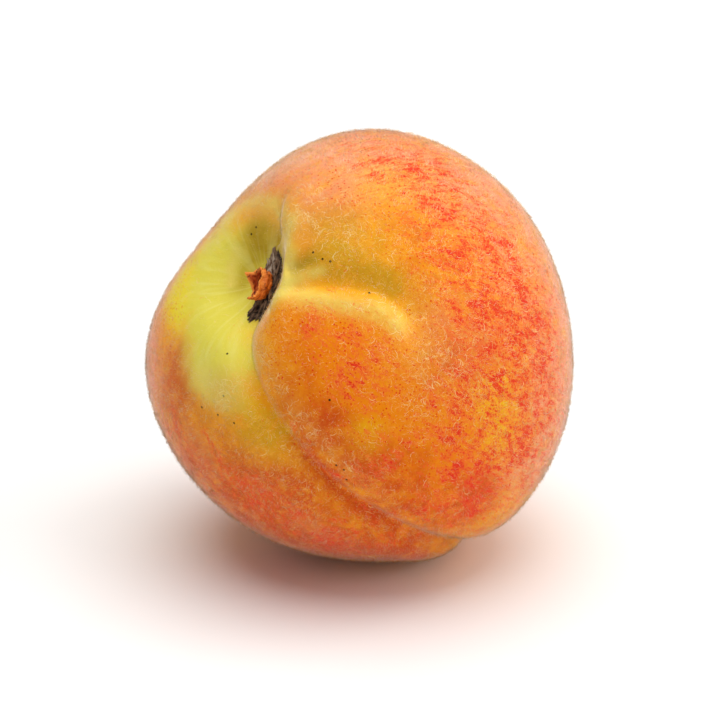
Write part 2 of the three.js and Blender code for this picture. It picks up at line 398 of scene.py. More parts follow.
class Bench:
    """Lays out the nodes of one material."""

    def __init__(self, name: str) -> None:
        """Starts a material with its one shader.

        Args:
            name: The material's name.
        """
        self.material = bpy.data.materials.new(name)
        self.material.use_nodes = True
        self.tree = self.material.node_tree
        self.shader = self.tree.nodes["Principled BSDF"]

    def feed(self, socket: Socket, value: Fed) -> None:
        """Links a socket into another one, or sets the plain value there.

        Args:
            socket: The socket that is fed.
            value: What it gets.
        """
        if isinstance(value, bpy.types.NodeSocket):
            self.tree.links.new(value, socket)
        elif isinstance(value, Colour):
            socket.default_value = value.light()
        else:
            socket.default_value = value

    def _node(self, kind: str, inputs: dict[str | int, Fed], **settings: str) -> bpy.types.Node:
        """Adds a node, sets it and feeds its inputs.

        Args:
            kind: The node's kind.
            inputs: What goes into each input.
            settings: Its settings, by name.

        Returns:
            The node.
        """
        node = self.tree.nodes.new("ShaderNode" + kind)
        for name, setting in settings.items():
            setattr(node, name, setting)
        for name, value in inputs.items():
            self.feed(node.inputs[name], value)
        return node

    def place(self) -> Socket:
        """The point on the piece, in metres."""
        return self._node("TexCoord", {}).outputs["Object"]

    def _kept(self, name: str) -> bpy.types.Node:
        """Reads what the mesh keeps under a name."""
        return self._node("Attribute", {}, attribute_name=name)

    def number(self, name: str) -> Socket:
        """A number that the mesh keeps."""
        return self._kept(name).outputs["Fac"]

    def vector(self, name: str) -> Socket:
        """A vector that the mesh keeps."""
        return self._kept(name).outputs["Vector"]

    def stretched(self, vector: Socket, scale: tuple[float, float, float]) -> Socket:
        """A vector with each axis scaled by its own amount."""
        return self._node("Mapping", {"Scale": scale, "Vector": vector}).outputs["Vector"]

    def grain(self, vector: Socket, size: float, detail: float = 2.0, warp: float = 0.0) -> Socket:
        """Cloudy noise, from 0 to 1 with its middle at 0.5.

        Args:
            vector: Where it is read, in metres.
            size: Of its clouds, in millimetres.
            detail: How many finer octaves it has.
            warp: How much it is swirled.

        Returns:
            The noise.
        """
        scale = 1.0 / (size * MM)
        inputs = {"Vector": vector, "Scale": scale, "Detail": detail, "Distortion": warp}
        return self._node("TexNoise", inputs).outputs["Fac"]

    def dots(self, vector: Socket, pitch: float) -> tuple[Socket, Socket]:
        """Scattered dots.

        Args:
            vector: Where they are read, in metres.
            pitch: Between neighbours, in millimetres.

        Returns:
            The distance from the nearest dot as a share of the pitch, and that dot's own random number.
        """
        node = self._node("TexVoronoi", {"Vector": vector, "Scale": 1.0 / (pitch * MM)})
        chance = self._node("SeparateColor", {"Color": node.outputs["Color"]})
        return node.outputs["Distance"], chance.outputs["Red"]

    def sum(self, *values: Input) -> Socket:
        """The sum of values."""
        return self._chain("ADD", values)

    def product(self, *values: Input) -> Socket:
        """The product of values."""
        return self._chain("MULTIPLY", values)

    def least(self, *values: Input) -> Socket:
        """The smallest of values."""
        return self._chain("MINIMUM", values)

    def _chain(self, operation: str, values: tuple[Input, ...]) -> Socket:
        """Works one operation along a row of values.

        Args:
            operation: The operation.
            values: The values.

        Returns:
            The result.
        """
        total = values[0]
        for value in values[1:]:
            total = self._node("Math", {0: total, 1: value}, operation=operation).outputs[0]
        return total

    def window(self, value: Socket, low: float, high: float, to: Pair = (0.0, 1.0)) -> Socket:
        """Turns a value into an even S between two of its levels.

        Args:
            value: The value.
            low: Its level where the S starts.
            high: Its level where the S ends, which may be below low.
            to: What the S runs from and to.

        Returns:
            The S.
        """
        inputs = {"Value": value, "From Min": low, "From Max": high, "To Min": to[0], "To Max": to[1]}
        return self._node("MapRange", inputs, interpolation_type="SMOOTHSTEP").outputs["Result"]

    def swing(self, cloud: Socket, amount: float) -> Socket:
        """Noise as a swing of that amount to either side of 0."""
        return self.product(self.sum(cloud, -0.5), 2.0 * amount)

    def coat(self, under: Socket | Colour, over: Socket | Colour, share: Input) -> Socket:
        """One colour laid over another.

        Args:
            under: The colour below.
            over: The colour above.
            share: How much of it is laid on, 0 to 1.

        Returns:
            The colour that shows.
        """
        return self._node("Mix", {0: share, 6: under, 7: over}, data_type="RGBA").outputs[2]

    def away_from(self, place: Socket, point: Vector) -> Socket:
        """The distance from a point, in metres."""
        return self._node("VectorMath", {0: place, 1: tuple(point)}, operation="DISTANCE").outputs["Value"]

    def relief(self, height: Socket, depth: float, below: Socket | None = None) -> Socket:
        """A bump that moves only the light.

        Args:
            height: The relief, from 0 to 1.
            depth: Its depth in millimetres.
            below: A coarser relief under it.

        Returns:
            The bumped normal.
        """
        node = self._node("Bump", {"Height": height, "Distance": depth * MM})
        if below is not None:
            self.feed(node.inputs["Normal"], below)
        return node.outputs["Normal"]

    def finish(
        self, colour: Socket, roughness: Socket, gloss: float, normal: Socket | None = None
    ) -> bpy.types.Material:
        """Feeds the shader, and gives the material.

        Args:
            colour: The colour that shows.
            roughness: Of its surface, 0 to 1.
            gloss: The strength of its plain reflection, 0 to 1.
            normal: Its relief, if it has one.

        Returns:
            The material.
        """
        self.feed(self.shader.inputs["Base Color"], colour)
        self.feed(self.shader.inputs["Roughness"], roughness)
        self.feed(self.shader.inputs["Specular IOR Level"], gloss)
        if normal is not None:
            self.feed(self.shader.inputs["Normal"], normal)
        return self.material


# ---- The fruit's form ---------------------------------------------------------------------------
@dataclass(frozen=True)
class Swell:
    """A broad swell (or, below 0, a flat) of the body. Reach is in degrees."""

    polar: float
    around: float
    reach: float
    height: float


@dataclass(frozen=True)
class Crease:
    """A crease along a path, with flanks of two half widths, whose depth fades at its ends."""

    path: Rows
    depth: float
    left: float
    right: float
    fade_in: float
    fade_out: float


@dataclass(frozen=True)
class Suture:
    """The groove down the u side, with one lip that stands higher and leans over it."""

    bow: Rows = ((20, -6), (100, 3))
    depth: Rows = ((0, 0.5), (15, 1.5), (30, 2.2), (60, 1.7), (90, 1.7), (120, 2.2), (150, 1.8), (180, 0))
    half_width: float = 2.4
    steepness: float = 1.5
    high_lip: Rows = ((0, 0.6), (20, 1.0), (60, 0.8), (110, 0.8), (150, 0))
    high_lip_at: float = 6.0
    low_lip: Rows = ((0, 0.2), (20, 1.0), (60, 0.4), (100, 0.6), (120, 1.0), (150, 0))
    low_lip_at: float = 5.0
    lip_half_width: float = 5.0
    lean: Rows = ((0, 0.3), (20, 1.0), (60, 1.0), (110, 0.8), (150, 0))
    lean_half_width: float = 4.0


@dataclass(frozen=True)
class Cavity:
    """The stalk cavity: a basin whose rim is rows of around, radius and steepness, with a well.

    It is cut only on the stalk's half, whole where the height of a place on a ball of radius 1 is above
    whole_above.
    """

    rim: Rows = (
        (0, 12.5, 3.5), (40, 9.6, 4.5), (80, 8.0, 4.2), (110, 8.5, 3.5), (140, 10, 2.5),
        (180, 13, 2), (225, 14, 2), (270, 14, 2), (315, 13.5, 2.5),
    )
    depth: float = 5.2
    well_depth: float = 2.8
    well_radius: float = 7.6
    well_steepness: float = 3.0
    whole_above: float = 0.35


@dataclass
class PeachForm:
    """The peach's form in axes of its own, and how it is laid in the frame."""

    radius: float = 35.0
    turn: float = 42.4
    tilt: float = 54.4
    heading: float = -134.6
    swells: tuple[Swell, ...] = (
        Swell(50, -155, 34, -4.2),
        Swell(128, 20, 30, 2.0),
        Swell(40, 24, 17, 1.0),
        Swell(115, 90, 26, -0.8),
        Swell(55, -98, 24, 0.8),
        Swell(74, 150, 22, 0.7),
    )
    creases: tuple[Crease, ...] = (
        Crease(
            ((15, 40), (22, 49), (27, 54), (34, 57), (41.5, 58), (46, 56.5), (50, 53), (53, 47), (56, 41)),
            1.6, 3.2, 1.5, 0.12, 0.4,
        ),
        Crease(((15, 58), (20, 64), (27, 72)), 0.8, 1.5, 1.2, 0.2, 0.5),
        Crease(((11, 112), (15, 128), (20, 134), (27, 136)), 1.1, 2.4, 1.3, 0.15, 0.5),
    )
    suture: Suture = Suture()
    cavity: Cavity = Cavity()
    move: Array = field(default_factory=lambda: np.zeros(3))

    def skin(self, polar: Array, around: Array) -> Array:
        """Points of the skin.

        Args:
            polar: Angles from the stalk axis.
            around: Angles about that axis.

        Returns:
            The points in the fruit's axes, one a row.
        """
        toward = direction(polar, around)
        lift = -self._crease_depth(toward)
        for swell in self.swells:
            away = degrees_from(toward, swell.polar, swell.around)
            lift = lift + swell.height * bell(away / swell.reach)
        suture = self.suture
        bow = np.radians(profile(suture.bow, polar))
        across, on_suture = self._beside_suture(polar, around, bow)
        groove = np.exp(-np.abs(across / suture.half_width) ** suture.steepness)
        lift -= on_suture * profile(suture.depth, polar) * groove
        high = bell((across - suture.high_lip_at) / suture.lip_half_width)
        lift += on_suture * profile(suture.high_lip, polar) * high
        low = bell((across + suture.low_lip_at) / suture.lip_half_width)
        lift += on_suture * profile(suture.low_lip, polar) * low
        points = toward * (self.radius + lift)[:, None]
        over = bell((across - suture.high_lip_at / 2.0) / suture.lean_half_width)
        lean = on_suture * profile(suture.lean, polar) * over
        points[:, 0] += lean * np.sin(bow)
        points[:, 1] -= lean * np.cos(bow)
        points[:, 2] -= self._cavity_depth(points) * smooth(toward[:, 2], 0.0, self.cavity.whole_above)
        return points

    def _beside_suture(self, polar: Array, around: Array, bow: Array) -> tuple[Array, Array]:
        """Distance across from the suture's line, and whether a place is on its side of the fruit.

        Args:
            polar: Angles from the stalk axis.
            around: Angles about that axis.
            bow: The suture's own angle there, in radians.

        Returns:
            The distance in millimetres, and 1 on that side to 0 on the other.
        """
        ring = np.sin(np.radians(polar)) * self.radius
        across = ring * np.sin(np.radians(around) - bow)
        outward = ring * np.cos(np.radians(around) - bow)
        return across, smooth(outward, -1.0, 5.0)

    def _crease_depth(self, toward: Array) -> Array:
        """How deep the creases cut at each direction.

        Args:
            toward: Unit vectors, one a row.

        Returns:
            The depths, in millimetres.
        """
        cut = np.zeros(len(toward))
        for crease in self.creases:
            distance, side, share = nearest_on_path(toward, crease.path)
            half_width = np.where(side > 0, crease.left, crease.right)
            fade = smooth(share, 0.0, crease.fade_in) * smooth(1.0 - share, 0.0, crease.fade_out)
            cut += crease.depth * fade * bell(distance * self.radius / half_width)
        return cut

    def _cavity_depth(self, points: Array) -> Array:
        """How deep the cavity sinks at each point.

        Args:
            points: Points in the fruit's axes, one a row.

        Returns:
            The depths, in millimetres.
        """
        cavity = self.cavity
        from_axis = np.hypot(points[:, 0], points[:, 1])
        azimuth = np.degrees(np.arctan2(points[:, 1], points[:, 0]))
        rim = ring_profile(cavity.rim, azimuth, 1)
        steepness = ring_profile(cavity.rim, azimuth, 2)
        basin = cavity.depth * np.exp(-((from_axis / rim) ** steepness))
        well = cavity.well_depth * np.exp(-((from_axis / cavity.well_radius) ** cavity.well_steepness))
        return basin + well

    def rotation(self) -> Array:
        """The turn from the fruit's axes to the frame's.

        Returns:
            The matrix, whose columns are u, v and w in the frame.
        """
        heading = Matrix.Rotation(math.radians(self.heading), 3, "Z")
        tilt = Matrix.Rotation(math.radians(self.tilt), 3, "Y")
        turn = Matrix.Rotation(math.radians(self.turn), 3, "Z")
        return np.array(heading @ tilt @ turn)

    def laid(self, points: Array) -> Array:
        """Points of the frame, in metres, for points in the fruit's axes."""
        return (points @ self.rotation().T + self.move) * MM

    def direction_of(self, laid: Array) -> Array:
        """Unit vectors, in the fruit's axes, to points of the frame."""
        return unit((laid / MM - self.move) @ self.rotation())

    def settle(self, points: Array, low: Vector, high: Vector) -> None:
        """Moves the fruit so that its points fill the solid's box from above.

        Args:
            points: The skin's points, in the fruit's axes.
            low: The lowest corner of the solid's box, in metres.
            high: The highest corner.
        """
        self.move = np.zeros(3)
        turned = self.laid(points) / MM
        middle = (np.array(low) + np.array(high)) / 2.0 / MM
        own_middle = (turned.min(0) + turned.max(0)) / 2.0
        self.move = middle - own_middle
        self.move[2] = high.z / MM - turned[:, 2].max()


# ---- Where the skin's tones lie -----------------------------------------------------------------
class Zone(Enum):
    """What a patch of the skin brings. Each is a number that the skin's mesh keeps."""

    AMBER = "amber"
    # Yellow tone, with a painted highlight along the first crease's lower lip
    YELLOW_AND_CREASE_HIGHLIGHT = "yellow_and_crease_highlight"
    # Darker gold tone, with painted shade on the creases
    DUSK_AND_CREASE_SHADE = "dusk_and_crease_shade"
    LEMON = "lemon"
    LEAF = "leaf"
    # Painted shade: a darker green-brown in the cavity's hollows and the second crease
    OLIVE_SHADE = "olive_shade"
    # Pale tone, with painted highlight on the creases' lower lips and a ridge in the cavity
    STRAW_AND_RIDGE_HIGHLIGHT = "straw_and_ridge_highlight"
    ROSE = "rose"
    # Red-brown tone, laid heavier low down and in the groove, where it also paints shade
    RUSSET_AND_SHADE = "russet_and_shade"
    # Pale peach tone of the far side, and painted sheen of the down along the rim
    BLOOM = "bloom_and_rim_sheen"
    BLUSH = "blush"
    # Tone of thick down, and painted sheen along the suture's high lip
    TAN = "tan_and_lip_sheen"
    BARE = "bare"
    TUFT = "tuft"


@dataclass(frozen=True)
class Patch:
    """A soft-edged round patch. Reach is in degrees."""

    polar: float
    around: float
    reach: float
    strength: float = 1.0

    def share(self, toward: Array) -> Array:
        """How much of the patch lies at each direction."""
        return self.strength * bell(degrees_from(toward, self.polar, self.around) / self.reach)


@dataclass(frozen=True)
class Stroke:
    """A soft-edged stroke along a path. Reach is its half width in degrees."""

    path: Rows
    reach: float
    strength: float = 1.0
    fade: float = 0.15

    def share(self, toward: Array) -> Array:
        """How much of the stroke lies at each direction.

        Args:
            toward: Unit vectors, one a row.

        Returns:
            The shares.
        """
        distance, _, passed = nearest_on_path(toward, self.path)
        ends = smooth(passed, 0.0, self.fade) * smooth(1.0 - passed, 0.0, self.fade)
        return self.strength * ends * bell(np.degrees(distance) / self.reach)


def patches(*rows: tuple[float, ...]) -> tuple[Patch, ...]:
    """Makes a patch of each row of polar, around, reach and, where it is less than 1, strength."""
    return tuple(Patch(*row) for row in rows)


ZONES: dict[Zone, tuple[Patch | Stroke, ...]] = {
    Zone.AMBER: (
        *patches(
            (42, -40, 14, 0.4), (68, 20, 14, 0.4), (27, 34, 7, 0.6), (36, 41, 6, 0.5), (38, 33, 11),
            (48, 25, 11), (60, 30, 11), (74, 22, 13), (88, 20, 14, 0.8), (66, 55, 16, 0.4),
            (84, 60, 20, 0.4), (45, 86, 13, 0.5), (60, 47, 11, 0.6), (54, 24, 8, 0.5), (27, -62, 6, 0.5),
            (51, -22, 7, 0.4), (32, -96, 6, 0.5), (39, 24, 12, 0.5), (100, -100, 34, 0.5),
            (120, 150, 40, 0.6),
        ),
        Stroke(((38, 0), (50, -2), (62, -1), (78, 0)), 3, 0.9),
    ),
    # Yellow patches of the skin's own tone; the stroke along the first crease is a painted highlight where
    # its lower lip faces the light.
    Zone.YELLOW_AND_CREASE_HIGHLIGHT: (
        *patches(
            (57, 17, 6, 0.45), (80, 44, 7, 0.75), (90, 36, 7, 0.7), (46, 106, 10, 0.4), (55, 46, 8, 0.2),
            (44, -8, 8, 0.45), (36, -14, 7, 0.6), (34, 82, 12, 0.2), (100, -150, 20, 0.6),
            (130, 110, 18, 0.5),
        ),
        Stroke(((19, 46), (28, 52), (34, 55), (40, 57), (46, 57), (53, 48)), 3.8, 0.35),
    ),
    # Darker gold patches; the two strokes are painted shade on the first crease's upper slope and in the
    # second crease.
    Zone.DUSK_AND_CREASE_SHADE: (
        *patches((26, 86, 9, 0.55), (36, 78, 9, 0.4), (44, -12, 9, 0.6), (40, -40, 14, 0.3)),
        Stroke(((21, 68), (30, 64), (40, 63), (49, 61)), 4, 0.75),
        Stroke(((17, 56), (20, 63), (26, 70), (33, 76)), 2.4, 0.9),
    ),
    Zone.LEMON: (
        *patches((22, -112, 9), (28, -112, 7, 0.6), (23, -90, 6, 0.5), (26, -128, 8, 0.9)),
    ),
    Zone.LEAF: (
        *patches(
            (13, -55, 12), (23, -35, 9), (12, -110, 9), (6, 150, 10), (25, -12, 6, 0.8),
            (16, -145, 8, 0.7), (22, -150, 8, 0.6), (28, -30, 7, 0.7),
        ),
        Stroke(((12, 130), (15, 100), (17, 75), (17, 50), (15, 30)), 3, 0.6, 0.05),
    ),
    # Painted shade: the cavity's hollows round the scar and the second crease's valley.
    Zone.OLIVE_SHADE: (
        *patches(
            (11, 165, 6, 0.8), (11, 125, 5, 0.7), (5, -140, 5, 0.45), (33, -20, 6, 0.3),
            (6, -110, 4, 0.3), (18, 51, 3, 0.4),
        ),
        Stroke(((16, 57), (21, 64), (27, 71)), 1.7, 0.7, 0.3),
    ),
    # Pale patches of the skin's own tone; the strokes along the creases' lower lips and over a ridge in the
    # cavity, which the form lacks, are painted highlight where those faces turn to the light.
    Zone.STRAW_AND_RIDGE_HIGHLIGHT: (
        *patches((26, -165, 7, 0.7), (32, -22, 7, 0.5), (30, -40, 6, 0.5), (28, -60, 6, 0.2)),
        Stroke(((15, 42), (21, 42), (28, 45), (34, 48), (40, 50), (46, 51), (52, 45)), 3.4, 0.55),
        Stroke(((18, 50), (24, 59), (29, 64)), 1.8, 0.5, 0.3),
        Stroke(((14, -168), (11, -140), (9, -100)), 2.2, 0.5),
        Stroke(((46, 54), (53, 48), (60, 40)), 4, 0.15, 0.3),
        Stroke(((12, 118), (14, 95), (16, 70), (17, 50), (17, 32), (17, 18)), 2.8, 0.75, 0.1),
        Stroke(((27, -175), (24, 170), (20, 140), (19, 110), (20, 80)), 3.6, 0.65, 0.2),
    ),
    Zone.ROSE: (
        *patches(
            (110, 80, 26, 0.8), (78, 108, 18, 0.7), (60, 140, 18, 0.6), (34, 112, 14, 0.4),
            (44, 132, 16, 0.5), (52, 112, 12, 0.4), (80, 78, 14, 0.35), (97, 56, 14, 0.4),
            (138, -142, 58, 1), (29, 92, 9, 0.3), (116, 50, 20, 0.5), (50, -88, 12, 0.8),
            (40, -100, 8, 0.5), (66, -62, 14, 0.8), (90, -45, 18, 0.6), (56, -46, 12, 0.5),
            (44, -74, 10, 0.6), (29, -64, 6, 0.5), (62, 52, 14, 0.35), (130, -100, 30, 0.6),
            (65, 96, 12, 0.5), (28, 150, 10, 0.6), (82, -42, 12, 0.5), (100, 30, 10, 0.3),
        ),
    ),
    # Pale peach over the far side; the two long strokes trace the fruit's outline as the camera sees it and
    # are painted sheen of the down at the rim.
    Zone.BLOOM: (
        *patches((138, -142, 66, 0.6), (34, 165, 10, 0.5), (38, 148, 8, 0.4), (44, 128, 9, 0.3)),
        Stroke(
            ((115, 18), (116, 34), (118, 48), (122, 76), (108, 104), (88, 128), (70, 150)), 18, 0.5, 0.2,
        ),
        Stroke(
            ((88, 128), (70, 150), (55, -178), (49, -142), (55, -102), (68, -76), (88, -54)), 15, 0.5, 0.2,
        ),
    ),
    # Red-brown of the lower cheeks; laid heavier over the lower part and down the suture groove, it also
    # paints the shade that falls there.
    Zone.RUSSET_AND_SHADE: (
        *patches(
            (70, -30, 13, 0.9), (84, -16, 13, 1), (58, -50, 12, 0.6), (98, -8, 16, 0.9),
            (56, -30, 8, 0.5), (92, -40, 20, 0.6), (44, -62, 8, 0.5), (34, -54, 8, 0.45), (61, 4, 4, 0.5),
            (29, -66, 6, 0.5), (92, 20, 8, 0.4), (80, 52, 12, 0.2), (60, -24, 12, 0.4), (62, 4, 5, 0.3),
            (31, -60, 6, 0.5), (36, -42, 7, 0.35), (42, -24, 8, 0.3), (57, 12, 5, 0.15),
            (33, -56, 5, 0.4), (62, 14, 8, 0.4), (71, 16, 10, 0.4), (83, 8, 8, 0.6), (95, 19, 9, 0.5),
            (30, 92, 9, 0.3), (60, 70, 10, 0.35), (62, 46, 9, 0.35), (50, 14, 6, 0.35), (30, 30, 6, 0.3),
            (37, 14, 7, 0.35), (30, 78, 10, 0.2), (50, 70, 8, 0.2), (48, 6, 7, 0.45), (56, -20, 8, 0.6),
            (28, -62, 6, 0.4), (64, -12, 8, 0.6), (76, 9, 6, 0.3), (93, 20, 8, 0.3), (51, -2, 5, 0.4),
            (50, 84, 10, 0.25), (66, 48, 9, 0.25),
        ),
        Stroke(((34, 1), (42, 0), (52, -1), (64, -1), (78, 0), (90, 2)), 3, 0.6),
        Stroke(((42, 11), (52, 12), (62, 10), (72, 9)), 3.5, 0.5, 0.2),
    ),
    Zone.BLUSH: (
        *patches(
            (70, 78, 18, 0.46), (84, 62, 22, 0.50), (88, 24, 18, 0.46), (40, 36, 12, 0.33),
            (50, -62, 12, 0.36), (62, -30, 14, 0.44), (82, -16, 16, 0.50), (44, 104, 16, 0.30),
            (62, 98, 16, 0.36), (100, 45, 20, 0.40), (70, 40, 12, 0.30), (66, 10, 6, 0.40),
            (110, 150, 40, 0.40), (130, -120, 40, 0.42), (125, 20, 30, 0.4), (57, 72, 8, 0.25),
            (72, 60, 14, 0.2), (44, 30, 10, 0.30), (54, 22, 10, 0.24), (52, 118, 12, 0.34),
            (64, 120, 10, 0.3), (46, 140, 10, 0.2),
        ),
        # marks of the upper cheek
        *patches(
            (43, 109, 2, 0.35), (63, 108, 2.2, 0.62), (54, 109, 2, 0.4), (62, 99, 2.2, 0.35),
            (67, 89, 2.2, 0.4), (78, 95, 3.2, 0.35), (76, 86, 2.6, 0.45), (76, 81, 2.4, 0.4),
            (79, 77, 2.2, 0.35), (79, 73, 2.2, 0.62), (62, 79, 2.4, 0.42), (59, 76, 1.8, 0.35),
            (68, 81, 2, 0.3),
        ),
        Stroke(((40, 119), (46, 117), (52, 115)), 1.2, 0.45),
        Stroke(((50, 95), (56, 91), (60, 87)), 1.6, 0.5),
        # marks of the right cheek
        *patches(
            (68, 64, 3.4, 0.42), (62, 57, 2.8, 0.4), (57, 62, 2.6, 0.35), (80, 60, 3, 0.4),
            (72, 53, 2.4, 0.4), (68, 45, 2.4, 0.42), (78, 48, 3, 0.5), (72, 38, 2.8, 0.5),
            (64, 35, 2.2, 0.4), (90, 49, 3.2, 0.4), (92, 58, 3.2, 0.4), (89, 68, 3.2, 0.4),
        ),
        # marks of the lower cheek
        *patches(
            (70, 29, 2.6, 0.4), (75, 31, 2.6, 0.42), (95, 38, 3, 0.5), (99, 35, 3, 0.45),
            (89, 29, 2.6, 0.55), (82, 24, 2.2, 0.5), (66, 15, 3, 0.45), (66, 21, 2.4, 0.35),
            (84, 13, 3, 0.4), (97, 18, 4, 0.5),
        ),
        # marks of the lobe and of the groove
        *patches((29, 37, 3, 0.42), (31, 31, 2.4, 0.4), (45, 2, 2.4, 0.5), (62, 2, 2.4, 0.5)),
        # marks of the left cheek
        *patches(
            (53, -52, 2.4, 0.35), (57, -27, 2.4, 0.4), (60, -23, 2.8, 0.4), (65, -29, 3, 0.35),
            (69, -18, 2.6, 0.45), (82, -19, 5, 0.4), (38, -79, 3, 0.3),
        ),
        Stroke(((42, -60), (50, -56)), 1.6, 0.4),
        Stroke(((42, -43), (49, -35), (56, -36)), 1.4, 0.45),
    ),
    # Tone of thick down in patches; the stroke along the suture's high lip is painted sheen where that lip
    # curls into the groove.
    Zone.TAN: (
        *patches(
            (21, 112, 8, 0.6), (19, 80, 6, 0.4), (32, -24, 6, 0.4), (42, -66, 9, 0.5), (58, -20, 10, 0.3),
            (26, 150, 10, 0.6), (74, -17, 4, 0.8),
        ),
        Stroke(((18, -2), (24, 5), (31, 7.5), (41, 7), (51, 7), (60, 7), (72, 7.5), (84, 8)), 2.2, 0.45),
    ),
    Zone.BARE: (
        *patches(
            (13, -55, 15), (23, -32, 8), (14, -115, 12), (4, 150, 13), (14, 165, 8, 0.8),
            (20, 62, 6, 0.5), (38, 30, 12, 0.55), (52, 22, 10, 0.5), (16, 85, 6, 0.5), (70, 20, 14, 0.4),
            (84, 26, 14, 0.4), (40, 10, 6, 0.4),
        ),
        Stroke(((16, 42), (28, 50), (40, 53), (47, 54)), 3, 0.5),
    ),
    Zone.TUFT: (
        *patches(
            (32, -26, 5, 1), (22, 105, 7, 0.4), (30, 84, 6, 0.25), (62, 42, 7, 0.55), (64, 34, 5, 0.4),
            (56, 50, 5, 0.35),
        ),
        Stroke(((20, 4), (31, 7.5), (41, 7), (51, 7), (60, 7), (68, 7.5)), 2, 0.6),
        Stroke(((34, 50), (40, 52), (46, 52), (52, 46)), 3, 0.4),
    ),
}


def zone_share(zone: Zone, toward: Array) -> Array:
    """How much of a zone lies at each direction, with its patches merged.

    Args:
        zone: The zone.
        toward: Unit vectors, one a row.

    Returns:
        Shares from 0 to 1.
    """
    clear = np.ones(len(toward))
    for patch in ZONES[zone]:
        clear *= 1.0 - np.clip(patch.share(toward), 0.0, 1.0)
    return 1.0 - clear


# ---- The skin -----------------------------------------------------------------------------------
@dataclass(frozen=True)
class GroundTone:
    """One tone of the skin's ground: the zone that it fills, and how ragged its edge is."""

    zone: Zone
    colour: Colour
    ragged: float


